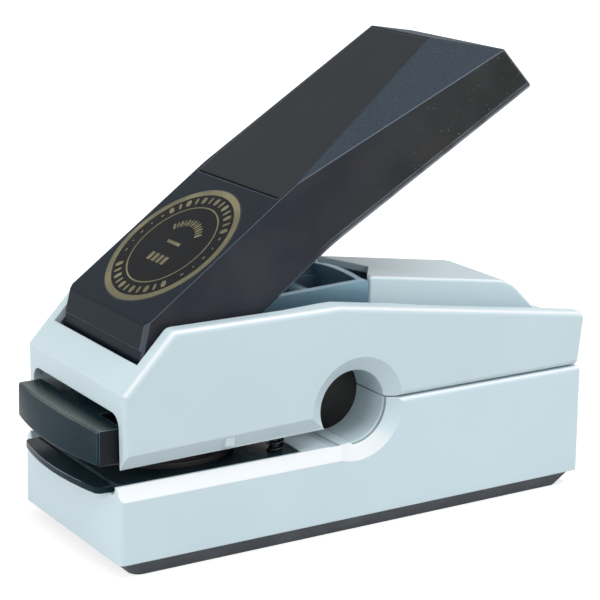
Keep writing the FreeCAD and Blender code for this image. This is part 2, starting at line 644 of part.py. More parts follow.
def ram():
    """Slider pressed down by the cam; its flat pad meets the cam one base radius behind the pivot."""
    contact = PIVOT_STATION + CAM_BASE_RADIUS
    plate = plan_prism([(RAM_FRONT, -RAM_HALF, 2), (RAM_REAR, -RAM_HALF, 2), (RAM_REAR, RAM_HALF, 2),
                        (RAM_FRONT, RAM_HALF, 2)], RAM_UNDERSIDE, RAM_UNDERSIDE + RAM_PLATE)
    pad = side_prism([(contact - 7, RAM_UNDERSIDE), (contact + 7, RAM_UNDERSIDE), (contact + 5, RAM_TOP, 1),
                      (contact - 5, RAM_TOP, 1)], -CAM_HALF - 1, CAM_HALF + 1)
    body = plate.fuse(pad)
    for side in (-1, 1):
        body = body.fuse(upright(POST_STATION, side * POST_SPREAD, 3.7, RAM_UNDERSIDE, RAM_UNDERSIDE + 5))
        body = body.cut(upright(POST_STATION, side * POST_SPREAD, POST_RADIUS, RAM_UNDERSIDE + 1, 60))
    return body.removeSplitter()


def guide_post(side):
    post = upright(POST_STATION, side * POST_SPREAD, POST_RADIUS, RAM_UNDERSIDE + 1, POST_TOP_END)
    groove = upright(POST_STATION, side * POST_SPREAD, POST_RADIUS + 1, POST_TOP_END - 1.8, POST_TOP_END - 1.0)
    groove = groove.cut(upright(POST_STATION, side * POST_SPREAD, POST_RADIUS - 0.5, 0, 90))
    return post.cut(groove)


def post_clips():
    rings = []
    for side in (-1, 1):
        y = side * POST_SPREAD
        ring = upright(POST_STATION, y, POST_RADIUS + 1.1, POST_TOP_END - 1.75, POST_TOP_END - 1.05)
        rings.append(ring.cut(upright(POST_STATION, y, POST_RADIUS - 0.5, 0, 90)))
    return Part.makeCompound(rings)


def coil(station, y, radius, wire, low, high, turns):
    """Coil spring that fills the height from low to high, lofted through turned sections of its wire."""
    per_turn, sides = 12, 5
    rise = high - low - 2 * wire
    count = round(turns * per_turn)
    sections = []
    for index in range(count + 1):
        turn = 2 * math.pi * index / per_turn
        outward = Vector(math.cos(turn), math.sin(turn), 0)
        centre = Vector(station, y, low + wire + rise * index / count) + outward * radius
        corners = []
        for step in range(sides + 1):
            angle = 2 * math.pi * step / sides
            corners.append(centre + outward * (wire * math.cos(angle)) + Vector(0, 0, wire * math.sin(angle)))
        sections.append(Part.makePolygon(corners))
    return Part.makeLoft(sections, True, True)


def return_spring(side):
    """Coil spring between the bridge and the clip at the top of a ram post."""
    low = BRIDGE_UNDERSIDE + BRIDGE_THICK
    radius = POST_RADIUS + SPRING_WIRE + 0.25
    return coil(POST_STATION, side * POST_SPREAD, radius, SPRING_WIRE, low, POST_TOP_END - 1.8, SPRING_TURNS)


# ---- lever ----

def tipped(shape):
    """Move a lever piece from its level drawing to its raised rest place."""
    moved = shape.copy()
    moved.rotate(Vector(0, 0, 0), Vector(0, 1, 0), -LEVER_TILT)
    moved.translate(Vector(LEVER_EDGE_STATION, 0, LEVER_EDGE_HEIGHT))
    return moved


def level_pivot():
    """The pivot's place in the lever's level drawing."""
    along = PIVOT_STATION - LEVER_EDGE_STATION
    up = PIVOT_HEIGHT - LEVER_EDGE_HEIGHT
    return (along * math.cos(TILT) + up * math.sin(TILT), up * math.cos(TILT) - along * math.sin(TILT))


def slab(a, b, c, outward, sink):
    """Thick slab outside the plane through three points, sunk into the form by a margin."""
    normal = (b - a).cross(c - a).normalize()
    if normal.dot(outward) < 0:
        normal = normal * -1
    u = (b - a).normalize()
    v = normal.cross(u)
    origin = a - normal * sink
    reach = 2 * TAIL_END
    corners = [origin + u * i * reach + v * j * reach for i, j in ((-1, -1), (1, -1), (1, 1), (-1, 1), (-1, -1))]
    return Part.Face(Part.makePolygon(corners)).extrude(normal * 60)


def lever_form(sink, outline):
    """Faceted lever body, or its hollow when the planes are sunk by the wall's thickness."""
    half = LEVER_HALF - sink
    form = side_prism(outline, -half, half)
    end = slab(Vector(PANEL_END, 0, 0), Vector(CREASE_END, 0, -CREASE_DROP), Vector(PANEL_END, 1, 0),
               Vector(1, 0, 1), sink)
    form = form.cut(end)
    for side in (1, -1):
        apex = Vector(LEVER_APEX, side * LEVER_HALF, 0)
        panel = Vector(PANEL_END, side * PANEL_END_HALF, 0)
        crease = Vector(CREASE_END, side * LEVER_HALF, -CREASE_DROP)
        form = form.cut(slab(apex, panel, crease, Vector(0, side, 1), sink))
        form = form.cut(face_chamfer(side, sink))
    return form


def face_chamfer(side, sink):
    """Slab that bevels the corner between the lever's front face and its side."""
    out = Vector(-FACE_DROP, 0, FACE_REACH).normalize()
    near = Vector(0, side * (LEVER_HALF - FACE_CHAMFER), 0)
    below = near + Vector(-FACE_REACH, 0, -FACE_DROP)
    back = Vector(0, side * LEVER_HALF, 0) - out * FACE_CHAMFER
    return slab(near, below, back, out + Vector(0, side, 0), sink)


def lever_outline(sink):
    """Side outline of the lever; the hollow runs out through the bottom."""
    face = Vector(-FACE_REACH, 0, -FACE_DROP).normalize()
    normal = Vector(-face.z, 0, face.x)
    if sink == 0:
        ledge = (-FACE_REACH * FACE_LEDGE, -FACE_DROP * FACE_LEDGE)
        step_x, step_z = normal.x * FACE_STEP, normal.z * FACE_STEP
        return [(0, 0, 0.8), ledge, (ledge[0] + step_x, ledge[1] + step_z),
                (step_x - FACE_REACH, step_z - FACE_DROP), (-FACE_REACH - 0.6, -10), (-4, -19, 4),
                (4, -SKIRT_DEPTH, 6), (LEVER_APEX, -SKIRT_DEPTH, 60), (TAIL_END, -TAIL_DEPTH),
                (CREASE_END, -CREASE_DROP), (CREASE_END, 0)]
    front = Vector(0, 0, 0) + normal * sink
    top_run = (0 - sink - front.z) / face.z
    corner = front + face * top_run
    low = front + face * 26
    return [(corner.x, -sink), (low.x, low.z), (low.x + 20, -60), (TAIL_END - sink, -60),
            (TAIL_END - sink, -TAIL_DEPTH), (CREASE_END - sink, -CREASE_DROP), (CREASE_END - sink, -sink)]


def soft_edge(box):
    """True for the creases behind the lever's face and for the lower side edges of its skirt."""
    crease = box.XMin > 2 and box.ZMax > 1 - SKIRT_DEPTH
    lip = box.YLength < 0.01 and box.XLength > 5 and box.ZMax < 0.5 - SKIRT_DEPTH
    tail = box.XMin > CREASE_END
    return crease or lip or tail


def lever_housing():
    outer = lever_form(0, lever_outline(0))
    outer = outer.makeFillet(CREASE_ROUND, [edge for edge in outer.Edges if soft_edge(edge.BoundBox)])
    hollow = lever_form(LEVER_WALL, lever_outline(LEVER_WALL))
    body = outer.cut(hollow)
    body = body.cut(upright(LABEL_STATION, 0, label_radius() + INLAY_FIT, -INLAY_THICK, 1))
    body = body.cut(plan_prism(grip_outline(0), -INLAY_THICK, 1))
    for station in LEVER_SCREW_STATIONS:
        body = body.fuse(upright(station, 0, BOSS_RADIUS, -CHANNEL_DEPTH, -LEVER_WALL + 0.2))
        body = body.cut(upright(station, 0, SCREW_RADIUS, -CHANNEL_DEPTH - 1, -INLAY_THICK - 0.4))
    return tipped(body.removeSplitter())


def label_radius():
    return LEVER_HALF - LABEL_EDGE


def label_plate():
    """Round plate let into the front of the lever's top."""
    plate = upright(LABEL_STATION, 0, label_radius(), -INLAY_THICK, 0)
    rim = [edge for edge in plate.Edges if edge.BoundBox.ZMin > -0.01]
    return tipped(plate.makeChamfer(0.15, rim))


def grip_outline(fit):
    """Plan outline of the matt panel let into the lever's top behind the label."""
    wide = LEVER_HALF - GRIP_EDGE
    start = GRIP_START + 5 * fit
    end, narrow = PANEL_END - 0.9, PANEL_END_HALF - 0.55
    bend = LEVER_APEX + 2
    side = [(start, wide - fit), (bend, wide - fit - 0.2), (end - fit, narrow - fit)]
    return [(x, -y) for x, y in side] + [(x, y) for x, y in reversed(side)]


def grip_panel():
    panel = plan_prism(grip_outline(INLAY_FIT), -INLAY_THICK, 0)
    rim = [edge for edge in panel.Edges if edge.BoundBox.ZMin > -0.01]
    return tipped(panel.makeChamfer(0.15, rim))


def lever_channel():
    """Folded steel channel: web under the housing's top, sides down to the pivot ears."""
    pivot_s, pivot_z = level_pivot()
    top = -CHANNEL_DEPTH
    low = top - CHANNEL_SIDE
    side = [(CHANNEL_START, top), (CHANNEL_END, top), (CHANNEL_END, low + 4, 4), (CHANNEL_END - 32, low, 20),
            (pivot_s + 11, low, 6), (pivot_s + 7, pivot_z - 7.5, 6), (pivot_s - 5.5, pivot_z - 7.5, 6),
            (pivot_s - 5.5, pivot_z + 4, 3)]
    body = side_prism(side, -CHANNEL_HALF, CHANNEL_HALF)
    inner = CHANNEL_HALF - CHANNEL_THICK
    body = body.cut(block(-TAIL_END, TAIL_END, -inner, inner, -TAIL_END, top - CHANNEL_THICK))
    folds = [edge for edge in body.Edges if edge.BoundBox.XLength > 40 and edge.BoundBox.ZMin > top - 0.01]
    body = body.makeFillet(1.4, folds)
    body = body.cut(across(pivot_s, pivot_z, PIVOT_RADIUS + RUNNING_FIT, -HALF, HALF))
    for station in LEVER_SCREW_STATIONS:
        body = body.cut(upright(station, 0, SCREW_RADIUS + 0.15, -30, 5))
    for station in CAM_RIVET_STATIONS:
        body = body.cut(upright(station, 0, RIVET_RADIUS, -30, 5))
    return tipped(body.removeSplitter())


def press_cam():
    """Cam whose working edge is an involute of the base circle round the pivot.

    On that curve the flat pad of the ram is always met one base radius behind the pivot, so the
    ram goes down by the base radius times the lever's turn, at a steady rate."""
    steps = 8
    sweep = math.radians(CLOSING_ANGLE)
    margin = math.radians(4)
    points = []
    for index in range(steps + 1):
        turn = -margin + (sweep + 2 * margin) * index / steps
        lift = CAM_START_LIFT + CAM_BASE_RADIUS * turn
        x = CAM_BASE_RADIUS * math.cos(turn) + lift * math.sin(turn)
        z = CAM_BASE_RADIUS * math.sin(turn) - lift * math.cos(turn)
        points.append(Vector(PIVOT_STATION + x, -CAM_HALF, PIVOT_HEIGHT + z))
    curve = Part.BSplineCurve()
    curve.interpolate(points)
    first, last = points[0], points[-1]
    radial = [Vector(PIVOT_STATION, -CAM_HALF, PIVOT_HEIGHT)]
    lobe = Part.Wire([curve.toShape()] + Part.makePolygon([last] + radial + [first]).Edges)
    body = Part.Face(lobe).extrude(Vector(0, 2 * CAM_HALF, 0))
    body = body.fuse(across(PIVOT_STATION, PIVOT_HEIGHT, CAM_START_LIFT - 0.6, -CAM_HALF, CAM_HALF))
    pivot_s, pivot_z = level_pivot()
    seat = -CHANNEL_DEPTH - CHANNEL_THICK
    arm = side_prism([(pivot_s - 4, pivot_z), (pivot_s + 8, pivot_z - 2), (25, seat - 4, 3), (25, seat),
                      (8.5, seat), (8.5, seat - 3, 2)], -CAM_HALF, CAM_HALF)
    body = body.fuse(tipped(arm))
    hub = across(PIVOT_STATION, PIVOT_HEIGHT, PIVOT_RADIUS + 2.2, -CHEEK_INNER + 0.3, CHEEK_INNER - 0.3)
    body = body.fuse(hub)
    body = body.cut(across(PIVOT_STATION, PIVOT_HEIGHT, PIVOT_RADIUS + RUNNING_FIT, -HALF, HALF))
    for station in CAM_RIVET_STATIONS:
        body = body.cut(tipped(upright(station, 0, RIVET_RADIUS, seat - 5, seat)))
    return body.removeSplitter()


def cam_rivets():
    seat = -CHANNEL_DEPTH - CHANNEL_THICK
    rivets = []
    for station in CAM_RIVET_STATIONS:
        shank = upright(station, 0, RIVET_RADIUS, seat - 5, -CHANNEL_DEPTH)
        head = upright(station, 0, 2.6, -CHANNEL_DEPTH, -CHANNEL_DEPTH + 0.7)
        rivets.append(tipped(shank.fuse(head)))
    return Part.makeCompound(rivets)


def lever_screws():
    web = -CHANNEL_DEPTH - CHANNEL_THICK
    screws = []
    for station in LEVER_SCREW_STATIONS:
        head = upright(station, 0, SCREW_HEAD_RADIUS, web - SCREW_HEAD, web)
        shank = upright(station, 0, SCREW_RADIUS, web, -INLAY_THICK - 0.6)
        cross = block(station - 1.6, station + 1.6, -0.4, 0.4, web - SCREW_HEAD, web - SCREW_HEAD + 0.8)
        screws.append(tipped(head.fuse(shank).cut(cross)))
    return Part.makeCompound(screws)


# ---- die cartridge ----

def bowed_front(corner_station, half, reach, rear):
    """Plan outline with a bowed front edge, given as a wire maker for a height."""
    def wire(height):
        arc = Part.Arc(Vector(corner_station, -half, height), Vector(-reach, 0, height),
                       Vector(corner_station, half, height)).toShape()
        back = Part.makePolygon([Vector(corner_station, half, height), Vector(rear, half, height),
                                 Vector(rear, -half, height), Vector(corner_station, -half, height)])
        return Part.Wire([arc] + back.Edges)
    return wire


def lower_holder():
    low = RECESS_FLOOR + HOLDER_FIT
    top = low + LOWER_HOLDER_THICK
    plate = plan_prism([(1.4, -HOLDER_HALF, 3), (HOLDER_REAR, -HOLDER_HALF, 1.5), (HOLDER_REAR, HOLDER_HALF, 1.5),
                        (1.4, HOLDER_HALF, 3)], low, top)
    long_edges = [edge for edge in plate.Edges if edge.BoundBox.ZMax < low + 0.01 and edge.BoundBox.XLength > 30]
    plate = plate.makeFillet(2.1, long_edges)
    outline = bowed_front(-LOWER_TAB_CORNER, LOWER_TAB_HALF, LOWER_TAB_REACH, 6)
    tab = Part.Face(outline(low)).extrude(Vector(0, 0, LOWER_TAB_THICK))
    tips = [edge for edge in tab.Edges if edge.BoundBox.ZLength > 1 and edge.BoundBox.XMax < 0]
    tab = tab.makeFillet(2.0, tips)
    body = plate.fuse(tab)
    body = body.cut(upright(DIE_STATION, 0, DIE_RADIUS + DIE_FIT, low + 0.8, 60))
    for side in (-1, 1):
        y = side * CARTRIDGE_PIN_SPREAD
        body = body.cut(upright(CARTRIDGE_PIN_STATION, y, CARTRIDGE_PIN_RADIUS, low + 0.5, 60))
    return body.removeSplitter()


def cartridge_pins():
    low = RECESS_FLOOR + HOLDER_FIT + 0.5
    pins = []
    for side in (-1, 1):
        y = side * CARTRIDGE_PIN_SPREAD
        pins.append(upright(CARTRIDGE_PIN_STATION, y, CARTRIDGE_PIN_RADIUS, low, UPPER_HOLDER_TOP))
    return Part.makeCompound(pins)


def cartridge_springs():
    """Coils round the cartridge pins that lift the upper die, housed in the upper holder's pockets."""
    low = RECESS_FLOOR + HOLDER_FIT + LOWER_HOLDER_THICK
    high = UPPER_HOLDER_UNDERSIDE + SPRING_POCKET_DEPTH
    radius = CARTRIDGE_PIN_RADIUS + CARTRIDGE_WIRE + 0.15
    coils = [coil(CARTRIDGE_PIN_STATION, side * CARTRIDGE_PIN_SPREAD, radius, CARTRIDGE_WIRE, low, high, 5)
             for side in (-1, 1)]
    return Part.makeCompound(coils)


def lower_die():
    low = RECESS_FLOOR + HOLDER_FIT + 0.8
    disc = upright(DIE_STATION, 0, DIE_RADIUS, low, LOWER_DIE_TOP)
    for radius in (DIE_RADIUS - 2.0, DIE_RADIUS - 7.2):
        ring = upright(DIE_STATION, 0, radius + 0.35, LOWER_DIE_TOP - 0.3, LOWER_DIE_TOP + 1)
        disc = disc.cut(ring.cut(upright(DIE_STATION, 0, radius - 0.35, 0, 60)))
    return disc


def upper_holder():
    low, top = UPPER_HOLDER_UNDERSIDE, UPPER_HOLDER_TOP
    foot = bowed_front(-TAB_CORNER, UPPER_TAB_HALF, TAB_REACH, 3)(low)
    brow = bowed_front(-TAB_CORNER, UPPER_TAB_HALF, TAB_REACH - TAB_LEAN, 3)(top)
    tab = Part.makeLoft([foot, brow], True, True)
    front_edges = [edge for edge in tab.Edges if edge.BoundBox.XMax < 0]
    tab = tab.makeChamfer(TAB_EDGE, front_edges)
    plate = plan_prism([(2.0, -HOLDER_HALF, 3), (HOLDER_REAR - 1, -HOLDER_HALF, 1.5),
                        (HOLDER_REAR - 1, HOLDER_HALF, 1.5), (2.0, HOLDER_HALF, 3)], low, low + UPPER_PLATE_THICK)
    pad = CHEEK_INNER - 1
    boss = plan_prism([(1, -pad, 1), (HOLDER_REAR - 3, -pad, 4), (HOLDER_REAR - 3, pad, 4), (1, pad, 1)],
                      low + UPPER_PLATE_THICK - 1, top)
    body = tab.fuse(plate).fuse(boss)
    for side in (-1, 1):
        y = side * CARTRIDGE_PIN_SPREAD
        body = body.fuse(upright(CARTRIDGE_PIN_STATION, y, SPRING_POCKET + 1.2, low, top))
        body = body.cut(upright(CARTRIDGE_PIN_STATION, y, CARTRIDGE_PIN_RADIUS + RUNNING_FIT, 0, 60))
        body = body.cut(upright(CARTRIDGE_PIN_STATION, y, SPRING_POCKET, 0, low + SPRING_POCKET_DEPTH))
    body = body.cut(upright(DIE_STATION, 0, DIE_RADIUS + DIE_FIT, 0, UPPER_DIE_UNDERSIDE + 3))
    return body.removeSplitter()


def upper_die():
    disc = upright(DIE_STATION, 0, DIE_RADIUS, UPPER_DIE_UNDERSIDE, UPPER_DIE_UNDERSIDE + 3)
    for radius in (DIE_RADIUS - 2.0, DIE_RADIUS - 7.2):
        ring = upright(DIE_STATION, 0, radius + 0.25, UPPER_DIE_UNDERSIDE - 0.25, UPPER_DIE_UNDERSIDE)
        disc = disc.fuse(ring.cut(upright(DIE_STATION, 0, radius - 0.25, 0, 60)))
    return disc.removeSplitter()


# ---- fasteners and bumpers ----

def up_screw(station, y, seat, top):
    head = upright(station, y, SCREW_HEAD_RADIUS, seat - SCREW_HEAD, seat)
    slot = block(station - 1.8, station + 1.8, y - 0.4, y + 0.4, seat - SCREW_HEAD, seat - SCREW_HEAD + 0.8)
    return head.fuse(upright(station, y, SCREW_RADIUS, seat, top)).cut(slot)


def casing_screws():
    return Part.makeCompound([up_screw(x, y, 0, TRAY_TOP - 0.8) for x, y in boss_places()])


def plate_screws():
    return Part.makeCompound([up_screw(x, y, 0, front_boss_top(x) - 2) for x, y in front_boss_places()])


def tail_bumpers():
    """Rubber pads on the well's floor that meet the lever's tail."""
    pads = []
    for side in (-1, 1):
        foot = Vector(BODY_LENGTH - BUMPER_SETBACK, side * (LEVER_HALF - BUMPER_RADIUS), TRAY_TOP)
        pads.append(Part.makeCone(BUMPER_RADIUS, BUMPER_RADIUS - BUMPER_TAPER, BUMPER_HEIGHT, foot))
    return Part.makeCompound(pads)


def nodes():
    cheek = frame_cheek()
    collar = throat_collar()
    return {
        "rubber_foot": rubber_foot(), "bottom_plate": bottom_plate(), "base_shell": base_shell(),
        "upper_shell": upper_shell(), "rear_cover": rear_cover(), "throat_liner": throat_liner(),
        "throat_collar_left": collar, "throat_collar_right": mirrored(collar), "well_tray": well_tray(),
        "frame_cheek_left": cheek, "frame_cheek_right": mirrored(cheek), "frame_strap": frame_strap(),
        "anvil_plate": anvil_plate(), "tie_pins": tie_pins(), "ram_bridge": ram_bridge(),
        "bridge_rivets": bridge_rivets(), "pivot_pin": pivot_pin(), "pivot_clips": pivot_clips(),
        "casing_screws": casing_screws(), "plate_screws": plate_screws(), "tail_bumpers": tail_bumpers(),
        "lever_housing": lever_housing(), "label_plate": label_plate(), "grip_panel": grip_panel(),
        "lever_channel": lever_channel(),
        "press_cam": press_cam(), "cam_rivets": cam_rivets(), "lever_screws": lever_screws(),
        "ram": ram(), "guide_post_left": guide_post(1), "guide_post_right": guide_post(-1),
        "post_clips": post_clips(), "return_spring_left": return_spring(1),
        "return_spring_right": return_spring(-1),
        "lower_holder": lower_holder(), "lower_die": lower_die(), "cartridge_pins": cartridge_pins(),
        "cartridge_springs": cartridge_springs(),
        "upper_holder": upper_holder(), "upper_die": upper_die(),
    }


def main():
    os.makedirs("parts", exist_ok=True)
    to_origin = Vector(-(BODY_LENGTH - TAB_REACH) / 2, 0, FOOT_HEIGHT)
    for name, shape in nodes().items():
        placed = shape.copy()
        placed.translate(to_origin)
        placed.exportStep("parts/" + name + ".step")
        box = placed.BoundBox
        print(name, placed.isValid(), len(placed.Solids), round(placed.Volume, 1),
              [round(v, 2) for v in (box.XMin, box.XMax, box.YMin, box.YMax, box.ZMin, box.ZMax)])


main()
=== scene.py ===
"""Looks of a desk seal embosser: moulded casing, faceted lever, steel press frame and black die cartridge.

Blender is given metres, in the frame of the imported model: x points back, away from the die cartridge, y to
the left and z up. The sizes below are in millimetres, unless they say otherwise.
"""

import math

import bmesh
import bpy
from mathutils import Matrix, Vector


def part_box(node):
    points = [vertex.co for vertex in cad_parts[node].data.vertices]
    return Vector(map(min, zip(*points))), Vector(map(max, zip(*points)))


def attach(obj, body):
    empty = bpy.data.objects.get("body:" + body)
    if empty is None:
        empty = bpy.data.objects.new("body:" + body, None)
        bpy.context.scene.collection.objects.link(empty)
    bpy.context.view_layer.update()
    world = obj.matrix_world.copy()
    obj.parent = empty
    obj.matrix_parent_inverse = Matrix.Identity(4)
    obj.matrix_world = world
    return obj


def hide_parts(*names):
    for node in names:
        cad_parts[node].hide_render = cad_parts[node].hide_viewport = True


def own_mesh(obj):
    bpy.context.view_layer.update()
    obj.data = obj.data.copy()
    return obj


bl_info = {
    "name": "Seal Embosser",
    "version": (1, 0, 0),
    "blender": (4, 5, 0),
    "location": "3D View > Sidebar > Embosser",
    "description": "Finishes, medallion, springs and stage of a desk seal embosser",
    "category": "Add Mesh",
}

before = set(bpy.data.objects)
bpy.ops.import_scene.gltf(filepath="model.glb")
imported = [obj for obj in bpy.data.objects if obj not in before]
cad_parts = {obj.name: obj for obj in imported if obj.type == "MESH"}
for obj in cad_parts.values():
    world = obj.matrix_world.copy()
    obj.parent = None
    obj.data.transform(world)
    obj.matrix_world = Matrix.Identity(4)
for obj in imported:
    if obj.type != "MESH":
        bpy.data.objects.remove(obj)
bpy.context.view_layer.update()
MM = 0.001

# Sizes as they come out of the part's source. Stations run back from the casing's nose plane and heights
# up from its lower edge. On the lever, stations run back from its front edge and depths down from its top.
NOSE_TO_MIDDLE = 71.75
FOOT_HEIGHT = 4.4
LEVER_TILT = 36.3
LEVER_EDGE_STATION = 10.7
LEVER_EDGE_HEIGHT = 60.75
LABEL_STATION = 24.4
SKIRT_DEPTH = 21.3
SKIRT_BEND = 54.0
TAIL_DEPTH = 28.9
TAIL_END = 128.8

# Where finishes change, as stations of the casing with the lever up
LABEL_REAR = 49.75
TAIL_TONE = (51.75, 101.75)
DUST_START = 91.75
# On the cartridge's tab the painted reflection on its top ends here, where the opening's shade falls, and
# the edges' painted highlight goes over to its share behind
TAB_REAR = (-3.75, 1.75)

# The print on the label. A ring has an inner and an outer radius, and a row of blocks has these and half
# of a block's width.
PRINT_HEIGHT = 0.06
RIM = (19.0, 20.9)
INNER_RING = (13.9, 14.35)
BEAD_ROW = (15.7, 18.1, 0.85)
DASH_ROW = (16.6, 17.2, 0.55)
ARCH_ROW = (7.0, 9.4, 0.5)
RING_SIDES = 96
SLIM_BLOCK = 0.55
BLOCK_TAPER = 0.6

# Coil springs: radius of the wire and number of turns
RETURN_COIL = (0.45, 4)
CARTRIDGE_COIL = (0.35, 7)
STEPS_PER_TURN = 28
WIRE_SIDES = 10

# The stage, in metres: each light's place, its size, and its share of the key light's power
LIGHTS = {
    "key_light": ((0.34, -0.32, 0.75), (0.4, 0.4), 1.0),
    "high_front_light": ((-0.35, -0.35, 0.75), (0.6, 0.6), 0.33),
    "front_light": ((-0.75, -0.10, 0.25), (0.5, 0.4), 0.62),
    "side_light": ((0.10, -0.85, 0.30), (0.8, 0.5), 0.38),
    "rear_light": ((0.95, 0.08, 0.30), (0.7, 0.5), 0.22),
    "left_light": ((-0.80, 0.55, 0.22), (0.7, 0.4), 0.2),
}
LIT_POINT = (0, 0, 0.05)
FLOOR_REACH = 3.0
FLOOR_FADE = (0.15, 0.9)

# Strength of the world's light, where 1 is the white that is seen
WORLD_LEVEL = 0.38

# The camera: station, side and height in millimetres; azimuth, elevation and roll in degrees
CAMERA_PLACE = (-218.88, -455.56, 199.59)
CAMERA_TURN = (-32.45, 15.01, 1.09)
SENSOR_WIDTH = 36


def srgb(red, green, blue):
    """Linear colour of an sRGB colour given in parts of 255."""
    def linear(part):
        share = part / 255
        return share / 12.92 if share <= 0.04045 else ((share + 0.055) / 1.055) ** 2.4
    return (linear(red), linear(green), linear(blue))


def lighter(colour, share):
    """The colour made lighter, or darker by a share below 1."""
    return tuple(part * share for part in colour)


# Painted highlights along the chamfers, edges, creases and skirt rim, and the clouds, smears and dust on the
# lever
CHAMFER_PAINTED_HIGHLIGHT = srgb(240, 231, 231)
SHELL_EDGE_PAINTED_HIGHLIGHT = srgb(240, 246, 247)
CREASE_PAINTED_HIGHLIGHT = srgb(128, 140, 156)
SKIRT_PAINTED_HIGHLIGHT = srgb(158, 164, 174)
GLOSS_EDGE_PAINTED_HIGHLIGHT = srgb(176, 184, 190)
LEVER_CLOUD = srgb(80, 84, 90)
LEVER_SMEAR = srgb(58, 54, 50)
LEVER_DUST = srgb(190, 190, 184)

# Parts of the lever and of the cartridge that are set off from the rest, with a painted reflection on the
# cartridge tab's top and painted light on the holder's sides
LEVER_FRONT = srgb(14, 26, 36)
LEVER_TAIL = srgb(42, 45, 44)
TAB_TOP_PAINTED_REFLECTION = srgb(98, 107, 105)
HOLDER_FLANK_PAINTED_LIGHT = srgb(36, 40, 43)

# Small and inner pieces
BOTTOM_PLATE = srgb(96, 102, 108)
LINER = srgb(14, 15, 17)
FOOT_RUBBER = srgb(52, 58, 64)
DIE_RESIN = srgb(22, 23, 25)
DIE_BRASS = srgb(120, 104, 70)
CLIP_STEEL = srgb(168, 170, 172)
SCREW_PLATING = srgb(186, 188, 190)
BLACKENED_PIN = srgb(52, 56, 62)
BLACKENED_WIRE = srgb(60, 64, 70)


def frame_point(station, side, height):
    """Point of the frame from a station, a distance to the left and a height of the casing."""
    return Vector((station - NOSE_TO_MIDDLE, side, height + FOOT_HEIGHT)) * MM


# ---- shader maths ----

class Wire:
    """One value, vector or colour in a finish's node tree."""

    def __init__(self, tree, socket):
        self.tree = tree
        self.socket = socket

    def maths(self, operation, *values):
        return self.tree.add("ShaderNodeMath", dict(enumerate(values)), operation=operation)

    def __add__(self, other):
        return self.maths("ADD", self, other)

    __radd__ = __add__

    def __sub__(self, other):
        return self.maths("SUBTRACT", self, other)

    def __rsub__(self, other):
        return self.maths("SUBTRACT", other, self)

    def __mul__(self, other):
        return self.maths("MULTIPLY", self, other)

    __rmul__ = __mul__

    def __truediv__(self, other):
        return self.maths("DIVIDE", self, other)

    def __rtruediv__(self, other):
        return self.maths("DIVIDE", other, self)

    def __gt__(self, other):
        return self.maths("GREATER_THAN", self, other)

    def __lt__(self, other):
        return self.maths("LESS_THAN", self, other)

    def __abs__(self):
        return self.maths("ABSOLUTE", self)

    def at_least(self, least):
        return self.maths("MAXIMUM", self, least)

    def clamped(self):
        return self.tree.add("ShaderNodeClamp", {0: self})

    def between(self, low, high):
        """0 below low, 1 above high and a smooth step in between."""
        return self.tree.add("ShaderNodeMapRange", {"Value": self, "From Min": low, "From Max": high},
                             interpolation_type="SMOOTHSTEP")


